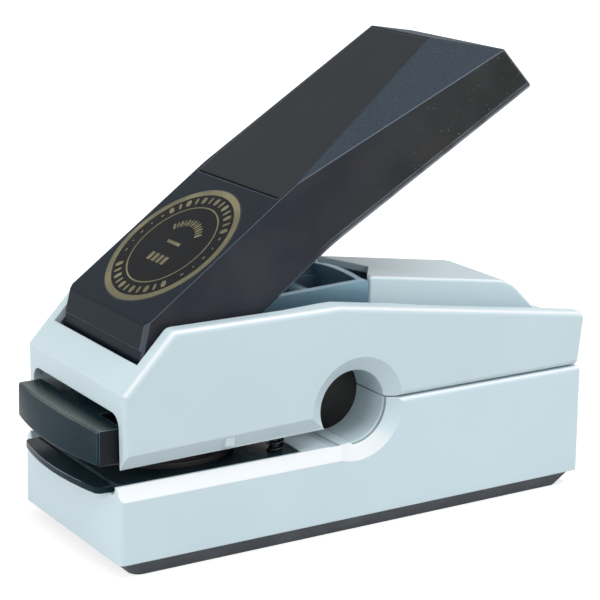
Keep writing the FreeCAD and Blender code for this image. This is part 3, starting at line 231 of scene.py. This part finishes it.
class Finish:
    """Node tree of a material or of the world, built with one method for every node."""

    def __init__(self, name, kept_in="materials"):
        self.holder = getattr(bpy.data, kept_in).new(name)
        self.holder.use_nodes = True
        self.nodes = self.holder.node_tree.nodes
        self.links = self.holder.node_tree.links
        self.nodes.clear()

    def add(self, kind, sockets=None, output=0, **settings):
        """A node of that kind: its settings, then the values or wires of its sockets."""
        node = self.nodes.new(kind)
        for setting, value in settings.items():
            setattr(node, setting, value)
        for socket, value in (sockets or {}).items():
            target = node.inputs[socket]
            if isinstance(value, Wire):
                self.links.new(value.socket, target)
            elif target.type == "RGBA" and len(value) == 3:
                target.default_value = (*value, 1)
            else:
                target.default_value = value
        return Wire(self, node.outputs[output] if len(node.outputs) else None)

    def place(self):
        """The point on the surface, in the frame and with the piece at rest."""
        return self.add("ShaderNodeTexCoord", output="Object")

    def station(self):
        """That point's station on the casing, in millimetres."""
        return self.add("ShaderNodeSeparateXYZ", {0: self.place()}, output="X") / MM + NOSE_TO_MIDDLE

    def height(self):
        """That point's height on the casing, in millimetres."""
        return self.add("ShaderNodeSeparateXYZ", {0: self.place()}, output="Z") / MM - FOOT_HEIGHT

    def facing(self, axis):
        """How squarely the face looks along an axis, from -1 to 1."""
        normal = self.add("ShaderNodeTexCoord", output="Normal")
        return self.add("ShaderNodeSeparateXYZ", {0: normal}, output=axis)

    def seen(self):
        """1 for the camera, in reflections and through glass, and 0 for the light that falls on things."""
        rays = ("Is Camera Ray", "Is Glossy Ray", "Is Transmission Ray")
        camera, glossy, through = (self.add("ShaderNodeLightPath", output=ray) for ray in rays)
        return (camera + glossy + through).clamped()

    def colours(self, share, first, second):
        """First colour, going over to the second one by share."""
        return self.add("ShaderNodeMix", {0: share, 6: first, 7: second}, output=2, data_type="RGBA")

    def noise(self, per_mm, detail=3, roughness=0.5, stretch=(1, 1, 1)):
        """Noise from 0 to 1 with so many features to a millimetre."""
        scale = tuple(part * per_mm / MM for part in stretch)
        place = self.add("ShaderNodeVectorMath", {0: self.place(), 1: scale}, operation="MULTIPLY")
        return self.add("ShaderNodeTexNoise", {"Vector": place, "Scale": 1, "Detail": detail,
                                               "Roughness": roughness})

    def soft_edges(self, radius_mm):
        """Normal that rounds the sharp edges by that radius."""
        return self.add("ShaderNodeBevel", {"Radius": radius_mm * MM}, samples=8)

    def edges(self, radius_mm):
        """1 along the sharp edges and 0 on the open faces."""
        face = self.add("ShaderNodeNewGeometry", output="Normal")
        match = self.add("ShaderNodeVectorMath", {0: self.soft_edges(radius_mm), 1: face},
                         output="Value", operation="DOT_PRODUCT")
        return (1 - match).between(0.004, 0.08)

    def relief(self, height, depth_mm, normal):
        """Normal with the height's relief on it."""
        return self.add("ShaderNodeBump", {"Height": height, "Distance": depth_mm * MM, "Strength": 1.0,
                                           "Normal": normal})

    def shade(self, **sockets):
        """Close the tree with a Principled shader; underscores in the names stand for spaces."""
        named = {name.replace("_", " "): value for name, value in sockets.items()}
        shader = self.add("ShaderNodeBsdfPrincipled", named)
        self.add("ShaderNodeOutputMaterial", {"Surface": shader})
        return self.holder


def give(finish, *nodes):
    """Put a finish on CAD nodes."""
    for name in nodes:
        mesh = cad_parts[name].data
        mesh.materials.clear()
        mesh.materials.append(finish)


# ---- finishes ----

def moulded_shell(name, colour, roughness, shade=1.0, top=None):
    """Light casing plastic: satin, faintly uneven, with a fine mould texture and a painted highlight on its
    edges and chamfers.

    Shade paints one moulding lighter or darker than the others as painted light, and top sets its upper side
    to that share of its colour as painted shade."""
    finish = Finish(name)
    side = abs(finish.facing("Y"))
    upward = finish.facing("Z")
    chamfer = side.between(0.35, 0.5) * (1 - side.between(0.8, 0.9)) * upward.between(0.3, 0.45)
    cloud = finish.noise(0.03, detail=2)
    grain = finish.noise(5, detail=2)
    # Painted light: the whole moulding made lighter or darker by the share shade
    colour = lighter(colour, shade)
    tone = finish.colours(cloud.between(0.3, 0.7), lighter(colour, 0.975), colour)
    # Painted shade on the faces that look up, set by top
    if top is not None:
        tone = finish.colours(upward.between(0.7, 0.95), tone, lighter(colour, top))
    # Painted highlights: on the chamfers that face up and sideways, and along the sharp edges
    tone = finish.colours(chamfer * 0.5, tone, CHAMFER_PAINTED_HIGHLIGHT)
    tone = finish.colours(finish.edges(0.45) * 0.45, tone, SHELL_EDGE_PAINTED_HIGHLIGHT)
    gloss = roughness + (grain - 0.5) * 0.10 + (cloud - 0.5) * 0.06
    normal = finish.relief(grain, 0.012, finish.soft_edges(0.45))
    return finish.shade(Base_Color=tone, Roughness=gloss, Specular_IOR_Level=0.35, Normal=normal)


def lever_plastic(look):
    """Lever plastic: glossy in front and on the sides, with a matt texture and painted glints on the facets
    behind, and painted highlights along its creases, its edges and the skirts' lower rim.

    The facets are told from the way they face, and begin behind the label."""
    finish = Finish("lever_plastic")
    side = abs(finish.facing("Y"))
    upward = finish.facing("Z")
    station = finish.station()
    behind = station > LABEL_REAR
    level = 1 - side.between(0.12, 0.16)
    crown = (finish.facing("X") > 0.05) * (upward > 0.8)
    slope = (1 - level) * (1 - side.between(0.93, 0.96)) * (upward > 0)
    facets = (slope + crown).clamped() * behind
    top = level * (upward > 0.2) * (1 - crown) * behind
    grain = finish.noise(2.2, detail=3, roughness=0.65)
    smooth = glossy_tone(finish, look, station, level * (1 - behind))
    tone = finish.colours(top, smooth, tuple(look.panel_colour))
    tone = finish.colours(facets, tone, facet_tone(finish, tuple(look.facet_colour), grain))
    # Painted highlights along the crease fillets and along the sharp edges
    creases = (side.between(0.2, 0.4) * (1 - side.between(0.6, 0.8)) * (1 - behind)
               + side.between(0.83, 0.87) * (1 - side.between(0.96, 0.985)) * behind)
    edge_highlight = (creases * 0.42 + finish.edges(0.45) * 0.4).clamped()
    tone = finish.colours(edge_highlight, tone, CREASE_PAINTED_HIGHLIGHT)
    # Painted highlight along the lower rim of the skirts, broken into patches
    rim = skirt_rim_highlight(finish) * side.between(0.3, 0.5) * (upward < 0.05)
    tone = finish.colours(rim.clamped(), tone, SKIRT_PAINTED_HIGHLIGHT)
    matt = (facets + top).clamped()
    gloss = 0.27 + matt * 0.30 + (grain - 0.5) * (matt * 0.10 + 0.02)
    normal = finish.relief(grain * matt, 0.03, finish.soft_edges(0.6))
    return finish.shade(Base_Color=tone, Roughness=gloss, Specular_IOR_Level=0.06, Normal=normal)


def glossy_tone(finish, look, station, front):
    """Colour of the lever's smooth faces: clouds, smears, dust near the tail, and a blue-black front."""
    cloud = finish.noise(0.05, detail=3)
    smear = finish.noise(0.11, detail=4, roughness=0.6, stretch=(0.4, 1, 1))
    dust = finish.noise(1.7, detail=1).between(0.73, 0.76) * (station > DUST_START)
    tone = finish.colours(station.between(*TAIL_TONE), tuple(look.gloss_colour), LEVER_TAIL)
    tone = finish.colours(cloud.between(0.3, 0.7) * 0.2, tone, LEVER_CLOUD)
    tone = finish.colours(smear.between(0.5, 0.72) * 0.45, tone, LEVER_SMEAR)
    tone = finish.colours(dust * 0.45, tone, LEVER_DUST)
    return finish.colours(front, tone, LEVER_FRONT)


def facet_tone(finish, colour, grain):
    """Colour of the textured facets, with painted shade in the texture's hollows and painted glints."""
    # Painted glints of light, and below them painted shade in the texture's hollows
    painted_glints = finish.noise(4.5, detail=1).between(0.60, 0.70)
    tone = finish.colours(grain.between(0.35, 0.65), lighter(colour, 0.8), colour)
    return finish.colours(painted_glints * 0.5, tone, lighter(colour, 2.2))


def skirt_rim_highlight(finish):
    """Share of painted highlight along the lower edge of the lever's skirts, with a line above it, behind
    the bend.
    """
    tilt = math.radians(LEVER_TILT)
    run = finish.station() - LEVER_EDGE_STATION
    rise = finish.height() - LEVER_EDGE_HEIGHT
    along = run * math.cos(tilt) + rise * math.sin(tilt)
    depth = run * math.sin(tilt) - rise * math.cos(tilt)
    fall = (TAIL_DEPTH - SKIRT_DEPTH) / (TAIL_END - SKIRT_BEND)
    above = SKIRT_DEPTH + (along - SKIRT_BEND).at_least(0) * fall - depth
    edge = (1 - above.between(0.3, 1.3)) * 0.85 + (1 - above.between(1.2, 2.4)) * 0.12
    line = (1 - abs(above - 1.9).between(0.08, 0.35)) * 0.2
    patches = finish.noise(0.16, detail=2).between(0.3, 0.6) * 0.5 + 0.5
    return (edge + line) * patches * along.between(SKIRT_BEND - 8, SKIRT_BEND + 6)


def matt_panel(name, colour):
    """Matt panel let into the lever's top, with faint long scratches."""
    finish = Finish(name)
    cloud = finish.noise(0.04, detail=3)
    grain = finish.noise(3.2, detail=3)
    scratch = finish.noise(0.8, detail=5, roughness=0.75, stretch=(0.12, 1, 1))
    tone = finish.colours(cloud.between(0.3, 0.7), colour, lighter(colour, 1.12))
    tone = finish.colours(scratch.between(0.66, 0.74) * 0.2, tone, lighter(colour, 2))
    gloss = 0.50 + (grain - 0.5) * 0.16
    normal = finish.relief(grain, 0.012, finish.soft_edges(0.2))
    return finish.shade(Base_Color=tone, Roughness=gloss, Specular_IOR_Level=0.08, Normal=normal)


def black_gloss(name, colour, roughness, edge_highlight, edge_highlight_behind=None, top=None, flank=None):
    """Smooth dark plastic of the label plate and of the cartridge, with a painted highlight along its edges.

    Behind the front tab the edges' painted highlight may be weaker. A top colour, a painted reflection, goes
    on the tab's faces that look up, and a flank colour, painted light, on the sides."""
    finish = Finish(name)
    cloud = finish.noise(0.07, detail=2)
    scuff = finish.noise(0.5, detail=3, roughness=0.6, stretch=(1, 0.3, 1))
    tone = finish.colours(cloud.between(0.35, 0.75), colour, lighter(colour, 1.3))
    if top:
        # Painted reflection on the tab's faces that look up, fading out behind where the opening's shade
        # falls
        on_tab = 1 - finish.station().between(*TAB_REAR)
        tone = finish.colours(finish.facing("Z").between(0.6, 0.9) * on_tab, tone, top)
    if flank:
        # Painted light: the sides get a greyer tone than the front and the top
        tone = finish.colours(abs(finish.facing("Y")).between(0.8, 0.95), tone, flank)
    if edge_highlight_behind is not None:
        # Painted highlight along the edges, broken into patches and weaker behind the tab
        edge_highlight = edge_highlight + finish.station().between(*TAB_REAR) * (edge_highlight_behind - edge_highlight)
    wear = finish.edges(0.3) * cloud.between(0.38, 0.52) * edge_highlight
    tone = finish.colours(wear, tone, GLOSS_EDGE_PAINTED_HIGHLIGHT)
    gloss = roughness + scuff.between(0.45, 0.75) * 0.06
    normal = finish.relief(scuff, 0.002, finish.soft_edges(0.4))
    return finish.shade(Base_Color=tone, Roughness=gloss, Specular_IOR_Level=0.05, Normal=normal)


def plated_steel(name, colour, roughness, drawn=(1, 1, 1), metal=1.0):
    """Steel with a fine grain, which may be drawn out; a dull plating is less of a metal."""
    finish = Finish(name)
    grain = finish.noise(6, detail=3, stretch=drawn)
    cloud = finish.noise(0.06, detail=3)
    tone = finish.colours(cloud.between(0.3, 0.7), lighter(colour, 0.85), colour)
    gloss = roughness + (grain - 0.5) * 0.16
    normal = finish.relief(grain, 0.004, finish.soft_edges(0.25))
    return finish.shade(Base_Color=tone, Metallic=metal, Roughness=gloss, Normal=normal)


def rubber(name, colour):
    """Matt rubber with a pebbled skin and a little dust."""
    finish = Finish(name)
    grain = finish.noise(3.5, detail=3)
    dust = finish.noise(0.12, detail=4)
    dusty = tuple(part * 1.5 + 0.01 for part in colour)
    tone = finish.colours(dust.between(0.4, 0.75), colour, dusty)
    gloss = 0.68 + (grain - 0.5) * 0.2
    normal = finish.relief(grain, 0.03, finish.soft_edges(0.4))
    return finish.shade(Base_Color=tone, Roughness=gloss, Normal=normal)


def plain_moulding(name, colour, roughness):
    """Inner plastic pieces: even colour with a light mould texture."""
    finish = Finish(name)
    grain = finish.noise(3, detail=2)
    tone = finish.colours(grain.between(0.3, 0.7), lighter(colour, 0.9), colour)
    gloss = roughness + (grain - 0.5) * 0.1
    normal = finish.relief(grain, 0.01, finish.soft_edges(0.3))
    return finish.shade(Base_Color=tone, Roughness=gloss, Normal=normal)


def gold_print(colour):
    """Worn gold foil printed on the label plate, with a painted sheen in broad patches."""
    finish = Finish("gold_print")
    wear = finish.noise(1.8, detail=5, roughness=0.7)
    painted_sheen = finish.noise(0.07, detail=1)
    # Painted sheen: broad patches of the gold made lighter
    tone = finish.colours(painted_sheen.between(0.45, 0.7), colour, lighter(colour, 1.7))
    tone = finish.colours(wear.between(0.5, 0.75), tone, lighter(colour, 0.5))
    gloss = 0.42 + wear * 0.2
    return finish.shade(Base_Color=tone, Metallic=0.2, Roughness=gloss, Specular_IOR_Level=0.3)


# ---- colours and levels that a user would change ----

class CasingLook(bpy.types.PropertyGroup):
    colour: bpy.props.FloatVectorProperty(
        name="Casing colour", description="Colour of the moulded casing",
        subtype="COLOR", default=srgb(196, 214, 221))
    roughness: bpy.props.FloatProperty(
        name="Casing roughness", description="How dull the casing is",
        subtype="FACTOR", min=0, max=1, default=0.38)


class LeverLook(bpy.types.PropertyGroup):
    panel_colour: bpy.props.FloatVectorProperty(
        name="Panel colour", description="Colour of the matt top panel",
        subtype="COLOR", default=srgb(36, 39, 42))
    facet_colour: bpy.props.FloatVectorProperty(
        name="Facet colour", description="Colour of the textured facets",
        subtype="COLOR", default=srgb(56, 65, 74))
    gloss_colour: bpy.props.FloatVectorProperty(
        name="Gloss colour", description="Colour of the glossy sides",
        subtype="COLOR", default=srgb(43, 46, 54))
    label_colour: bpy.props.FloatVectorProperty(
        name="Label colour", description="Colour of the round label plate",
        subtype="COLOR", default=srgb(13, 15, 19))
    gold: bpy.props.FloatVectorProperty(
        name="Gold", description="Colour of the printed medallion",
        subtype="COLOR", default=srgb(98, 94, 70))


class CartridgeLook(bpy.types.PropertyGroup):
    black: bpy.props.FloatVectorProperty(
        name="Cartridge black", description="Colour of the die holders",
        subtype="COLOR", default=srgb(24, 42, 50))


class SteelLook(bpy.types.PropertyGroup):
    plate_colour: bpy.props.FloatVectorProperty(
        name="Plate colour", description="Colour of the frame's plates",
        subtype="COLOR", default=srgb(128, 160, 177))
    pin_colour: bpy.props.FloatVectorProperty(
        name="Pin colour", description="Colour of the pins, guide posts, cam and ram",
        subtype="COLOR", default=srgb(190, 192, 194))


class StageLook(bpy.types.PropertyGroup):
    focal_length: bpy.props.FloatProperty(
        name="Focal length", description="Focal length in millimetres",
        subtype="DISTANCE_CAMERA", min=1, default=120.8)
    key_power: bpy.props.FloatProperty(
        name="Key light", description="Power of the overhead light, which the other lights follow",
        subtype="POWER", min=0, default=4.1)


# ---- operators ----

class DressCasing(bpy.types.Operator):
    """Finish the casing's shells, the rear cover, the bottom plate, the throat's liner and the rubber"""
    bl_idname = "embosser.dress_casing"
    bl_label = "Casing"

    def execute(self, context):
        look = context.scene.embosser_casing
        colour = tuple(look.colour)
        give(moulded_shell("casing_plastic", colour, look.roughness),
             "upper_shell", "well_tray", "throat_collar_left", "throat_collar_right")
        # The base and the rear cover are copies of the casing plastic with painted light: the base lighter,
        # the cover's sides lighter and its top darker as painted shade
        give(moulded_shell("base_plastic_painted_light", colour, look.roughness, shade=1.05), "base_shell")
        give(moulded_shell("cover_plastic_painted_light_and_shade", colour, look.roughness, shade=1.12, top=0.75), "rear_cover")
        give(plain_moulding("bottom_plate_plastic", BOTTOM_PLATE, 0.55), "bottom_plate")
        give(plain_moulding("liner_plastic", LINER, 0.6), "throat_liner")
        give(rubber("foot_rubber", FOOT_RUBBER), "rubber_foot", "tail_bumpers")
        return {"FINISHED"}


class DressLever(bpy.types.Operator):
    """Finish the lever's housing, its top panel and its label plate, and print the medallion"""
    bl_idname = "embosser.dress_lever"
    bl_label = "Lever"

    def execute(self, context):
        look = context.scene.embosser_lever
        give(lever_plastic(look), "lever_housing")
        give(matt_panel("grip_panel_matt", tuple(look.panel_colour)), "grip_panel")
        give(black_gloss("label_gloss", tuple(look.label_colour), 0.22, edge_highlight=0.2), "label_plate")
        self.print_medallion(gold_print(tuple(look.gold)))
        return {"FINISHED"}

    def print_medallion(self, gold):
        """Raised print of rings, beads and bars on the label, the same on both sides of its middle."""
        self.ring("medallion_rim", gold, *RIM)
        self.ring("medallion_inner_ring", gold, *INNER_RING)
        self.blocks("medallion_beads_upper", gold, self.arc(BEAD_ROW, count=13, middle=0, reach=56))
        self.blocks("medallion_beads_lower", gold, self.arc(BEAD_ROW, count=11, middle=180, reach=47))
        self.blocks("medallion_dashes", gold, self.arc(DASH_ROW, count=5, middle=90, reach=24)
                    + self.arc(DASH_ROW, count=5, middle=270, reach=24))
        self.blocks("medallion_arch", gold, self.arc(ARCH_ROW, count=13, middle=0, reach=50))
        crossbar = self.bar(0.6, 0, half_length=0.5, half_width=3.2)
        uprights = [self.bar(-5.4, across, half_length=1.4, half_width=0.75)
                    for across in (-3.6, -1.2, 1.2, 3.6)]
        self.blocks("medallion_bars", gold, [crossbar] + uprights)

    def ring(self, name, gold, inner, outer):
        mesh = bmesh.new()
        turns = [2 * math.pi * step / RING_SIDES for step in range(RING_SIDES)]
        rows = []
        for radius, height in ((inner, 0), (inner, PRINT_HEIGHT), (outer, PRINT_HEIGHT), (outer, 0)):
            rows.append([mesh.verts.new((radius * math.cos(turn), radius * math.sin(turn), height))
                         for turn in turns])
        for lower, upper in zip(rows, rows[1:] + rows[:1]):
            join_rows(mesh, lower, upper)
        self.set_on_label(name, mesh, gold)

    def arc(self, row, count, middle, reach):
        """Outlines of blocks spread over an arc, so many degrees to each side of its middle.

        Each is widest halfway between its radii, and every second one is slimmer."""
        inner, outer, half_width = row
        outlines = []
        for step in range(count):
            turn = math.radians(middle + reach * (2 * step / (count - 1) - 1))
            along = Vector((math.cos(turn), math.sin(turn), 0))
            aside = Vector((-math.sin(turn), math.cos(turn), 0))
            waist = aside * (half_width * (SLIM_BLOCK if step % 2 else 1))
            end = waist * BLOCK_TAPER
            centre = along * ((inner + outer) / 2)
            outlines.append([along * inner - end, centre - waist, along * outer - end,
                             along * outer + end, centre + waist, along * inner + end])
        return outlines

    def bar(self, along, across, half_length, half_width):
        """Outline of a straight bar."""
        return [Vector((along + half_length * one, across + half_width * other, 0))
                for one, other in ((-1, -1), (1, -1), (1, 1), (-1, 1))]

    def blocks(self, name, gold, outlines):
        mesh = bmesh.new()
        for corners in outlines:
            low = [mesh.verts.new(corner) for corner in corners]
            high = [mesh.verts.new(corner + Vector((0, 0, PRINT_HEIGHT))) for corner in corners]
            mesh.faces.new(high)
            mesh.faces.new(reversed(low))
            join_rows(mesh, low, high)
        self.set_on_label(name, mesh, gold)

    def set_on_label(self, name, mesh, gold):
        """Lay a piece drawn in millimetres round the label's middle on the raised lever."""
        piece = new_piece(name, mesh, gold)
        piece.data.transform(Matrix.Scale(MM, 4))
        edge = Matrix.Translation(frame_point(LEVER_EDGE_STATION, 0, LEVER_EDGE_HEIGHT))
        tilt = Matrix.Rotation(math.radians(-LEVER_TILT), 4, "Y")
        piece.matrix_world = edge @ tilt @ Matrix.Translation((LABEL_STATION * MM, 0, 0))
        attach(piece, "lever")


class DressCartridge(bpy.types.Operator):
    """Finish the die holders and the two dies"""
    bl_idname = "embosser.dress_cartridge"
    bl_label = "Die cartridge"

    def execute(self, context):
        black = tuple(context.scene.embosser_cartridge.black)
        # The upper holder gets a painted reflection on its tab's top, painted light on its sides and a
        # painted highlight along its edges; the lower holder a painted highlight along its edges
        give(black_gloss("upper_holder_gloss", black, 0.25, edge_highlight=0.4, top=TAB_TOP_PAINTED_REFLECTION, flank=HOLDER_FLANK_PAINTED_LIGHT),
             "upper_holder")
        give(black_gloss("lower_holder_gloss", black, 0.2, edge_highlight=0.9, edge_highlight_behind=0.15), "lower_holder")
        give(plain_moulding("lower_die_resin", DIE_RESIN, 0.45), "lower_die")
        give(plated_steel("die_brass", DIE_BRASS, 0.36), "upper_die")
        return {"FINISHED"}


class DressSteel(bpy.types.Operator):
    """Finish the press frame, the pins, the ram, the clips and the screws"""
    bl_idname = "embosser.dress_steel"
    bl_label = "Steel parts"

    def execute(self, context):
        look = context.scene.embosser_steel
        plate, pin = tuple(look.plate_colour), tuple(look.pin_colour)
        give(plated_steel("frame_steel", plate, 0.36, drawn=(0.06, 1, 1), metal=0.6),
             "frame_cheek_left", "frame_cheek_right", "frame_strap", "anvil_plate", "ram_bridge",
             "lever_channel")
        give(plated_steel("turned_steel", pin, 0.3),
             "tie_pins", "bridge_rivets", "pivot_pin", "cam_rivets", "press_cam", "ram",
             "guide_post_left", "guide_post_right")
        give(plated_steel("clip_steel", CLIP_STEEL, 0.34), "pivot_clips", "post_clips")
        give(plated_steel("blackened_steel", BLACKENED_PIN, 0.3), "cartridge_pins")
        give(plated_steel("screw_plating", SCREW_PLATING, 0.26),
             "casing_screws", "plate_screws", "lever_screws")
        return {"FINISHED"}


class WindSprings(bpy.types.Operator):
    """Wind the coil springs of the ram and of the cartridge, which ride with the ram and the upper jaw"""
    bl_idname = "embosser.wind_springs"
    bl_label = "Springs"

    def execute(self, context):
        drawn = plated_steel("spring_wire", CLIP_STEEL, 0.3)
        blackened = plated_steel("blackened_wire", BLACKENED_WIRE, 0.3)
        for node in ("return_spring_left", "return_spring_right"):
            low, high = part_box(node)
            self.wind(node + "_coil", node, [(low + high) / 2], RETURN_COIL, drawn, "ram", "ram_slide")
        node = "cartridge_springs"
        low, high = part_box(node)
        radius = (high.x - low.x) / 2
        middle = (low + high) / 2
        middles = [Vector((middle.x, y, middle.z)) for y in (low.y + radius, high.y - radius)]
        self.wind("cartridge_coils", node, middles, CARTRIDGE_COIL, blackened,
                  "upper_jaw", "upper_jaw_slide")
        return {"FINISHED"}

    def wind(self, name, node, middles, wire_and_turns, finish, body, joint):
        """A coil round each middle, as wide and high as the node; the whole coil rides with the body."""
        low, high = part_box(node)
        wire, turns = wire_and_turns[0] * MM, wire_and_turns[1]
        radius = (high.x - low.x) / 2 - wire
        mesh = bmesh.new()
        for middle in middles:
            self.coil(mesh, middle, radius, wire, low.z, high.z, turns)
        piece = new_piece(name, mesh, finish)
        piece.data.polygons.foreach_set("use_smooth", [True] * len(piece.data.polygons))
        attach(piece, body)
        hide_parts(node)
        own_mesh(piece)

    def coil(self, mesh, middle, radius, wire, low, high, turns):
        """Round wire wound upwards, with a flat half turn at each end."""
        count = turns * STEPS_PER_TURN
        flat = STEPS_PER_TURN / 2
        rings = []
        for step in range(count + 1):
            turn = 2 * math.pi * step / STEPS_PER_TURN
            outward = Vector((math.cos(turn), math.sin(turn), 0))
            share = min(max((step - flat) / (count - 2 * flat), 0), 1)
            height = low + wire + (high - low - 2 * wire) * share
            centre = Vector((middle.x, middle.y, height)) + outward * radius
            rings.append([mesh.verts.new(centre + self.round_wire(side, wire, outward))
                          for side in range(WIRE_SIDES)])
        for lower, upper in zip(rings, rings[1:]):
            join_rows(mesh, lower, upper)
        mesh.faces.new(rings[0])
        mesh.faces.new(reversed(rings[-1]))

    def round_wire(self, side, wire, outward):
        """From the wire's middle to a point on its skin."""
        turn = 2 * math.pi * side / WIRE_SIDES
        return outward * (wire * math.cos(turn)) + Vector((0, 0, wire * math.sin(turn)))


def join_rows(mesh, lower, upper):
    """Faces between two closed rows of as many corners."""
    for index in range(len(lower)):
        ahead = (index + 1) % len(lower)
        mesh.faces.new((lower[index], lower[ahead], upper[ahead], upper[index]))


def new_piece(name, mesh, finish):
    """Object with that mesh and finish, linked to the scene."""
    bmesh.ops.recalc_face_normals(mesh, faces=mesh.faces)
    data = bpy.data.meshes.new(name)
    mesh.to_mesh(data)
    mesh.free()
    data.materials.append(finish)
    piece = bpy.data.objects.new(name, data)
    bpy.context.collection.objects.link(piece)
    return piece


class SetStage(bpy.types.Operator):
    """Pale floor, soft lights and the camera"""
    bl_idname = "embosser.set_stage"
    bl_label = "Stage"

    def execute(self, context):
        look = context.scene.embosser_stage
        self.lay_floor(context)
        self.light_world(context.scene)
        for name, (place, size, share) in LIGHTS.items():
            self.hang_light(context, name, Vector(place), size, look.key_power * share)
        self.place_camera(context, look.focal_length)
        context.scene.view_settings.view_transform = "Standard"
        return {"FINISHED"}

    def lay_floor(self, context):
        """Pale floor that keeps the shadow and goes over to plain white further out."""
        mesh = bpy.data.meshes.new("floor")
        corners = [(x * FLOOR_REACH, y * FLOOR_REACH, 0) for x, y in ((-1, -1), (1, -1), (1, 1), (-1, 1))]
        mesh.from_pydata(corners, [], [(0, 1, 2, 3)])
        floor = bpy.data.objects.new("floor", mesh)
        context.collection.objects.link(floor)
        finish = Finish("floor_paper")
        away = finish.add("ShaderNodeVectorMath", {0: finish.place()}, output="Value", operation="LENGTH")
        near, far, unlit = (0.68, 0.68, 0.68), (1, 1, 1), (0, 0, 0)
        glow = finish.colours(away.between(*FLOOR_FADE), near, far)
        glow = finish.colours(finish.seen(), unlit, glow)
        mesh.materials.append(finish.shade(Base_Color=(0.55, 0.55, 0.55), Roughness=1.0,
                                           Specular_IOR_Level=0.0, Emission_Color=glow,
                                           Emission_Strength=1.0))

    def light_world(self, scene):
        """Dim white world, which is plain white where it is seen."""
        sky = Finish("studio", kept_in="worlds")
        strength = WORLD_LEVEL + sky.seen() * (1 - WORLD_LEVEL)
        background = sky.add("ShaderNodeBackground", {"Color": (1, 1, 1), "Strength": strength})
        sky.add("ShaderNodeOutputWorld", {"Surface": background})
        scene.world = sky.holder

    def hang_light(self, context, name, place, size, power):
        """Soft rectangular light that looks at the object."""
        lamp = bpy.data.lights.new(name, "AREA")
        lamp.shape = "RECTANGLE"
        lamp.size, lamp.size_y = size
        lamp.energy = power
        light = bpy.data.objects.new(name, lamp)
        turn = (Vector(LIT_POINT) - place).to_track_quat("-Z", "Y")
        light.matrix_world = Matrix.Translation(place) @ turn.to_matrix().to_4x4()
        context.collection.objects.link(light)

    def place_camera(self, context, focal_length):
        """The camera stands in front of the right-hand nose corner, a little above the casing."""
        azimuth, elevation, roll = (math.radians(angle) for angle in CAMERA_TURN)
        ahead = Vector((-math.sin(azimuth) * math.cos(elevation), math.cos(azimuth) * math.cos(elevation),
                        -math.sin(elevation)))
        right = ahead.cross(Vector((0, 0, 1))).normalized()
        up = right.cross(ahead)
        across = right * math.cos(roll) + up * math.sin(roll)
        above = up * math.cos(roll) - right * math.sin(roll)
        turn = Matrix((across, above, -ahead)).transposed()
        camera_data = bpy.data.cameras.new("camera")
        camera_data.lens = focal_length
        camera_data.sensor_width = SENSOR_WIDTH
        camera_data.clip_start = 0.01
        camera = bpy.data.objects.new("camera", camera_data)
        camera.matrix_world = Matrix.Translation(frame_point(*CAMERA_PLACE)) @ turn.to_4x4()
        context.collection.objects.link(camera)
        context.scene.camera = camera


class EmbosserPanel(bpy.types.Panel):
    """Lists the embosser's groups of pieces"""
    bl_idname = "VIEW3D_PT_embosser"
    bl_label = "Seal Embosser"
    bl_space_type = "VIEW_3D"
    bl_region_type = "UI"
    bl_category = "Embosser"

    def draw(self, context):
        for operator in OPERATORS:
            self.layout.operator(operator.bl_idname)


LOOKS = {
    "embosser_casing": CasingLook,
    "embosser_lever": LeverLook,
    "embosser_cartridge": CartridgeLook,
    "embosser_steel": SteelLook,
    "embosser_stage": StageLook,
}
OPERATORS = (SetStage, DressCasing, DressLever, DressCartridge, DressSteel, WindSprings)


def register():
    for look in LOOKS.values():
        bpy.utils.register_class(look)
    for name, look in LOOKS.items():
        setattr(bpy.types.Scene, name, bpy.props.PointerProperty(type=look))
    for operator in OPERATORS:
        bpy.utils.register_class(operator)
    bpy.utils.register_class(EmbosserPanel)


def unregister():
    bpy.utils.unregister_class(EmbosserPanel)
    for operator in reversed(OPERATORS):
        bpy.utils.unregister_class(operator)
    for name in LOOKS:
        delattr(bpy.types.Scene, name)
    for look in LOOKS.values():
        bpy.utils.unregister_class(look)


def main():
    register()
    bpy.ops.embosser.set_stage()
    bpy.ops.embosser.dress_casing()
    bpy.ops.embosser.dress_lever()
    bpy.ops.embosser.dress_cartridge()
    bpy.ops.embosser.dress_steel()
    bpy.ops.embosser.wind_springs()


if __name__ == "__main__":
    main()
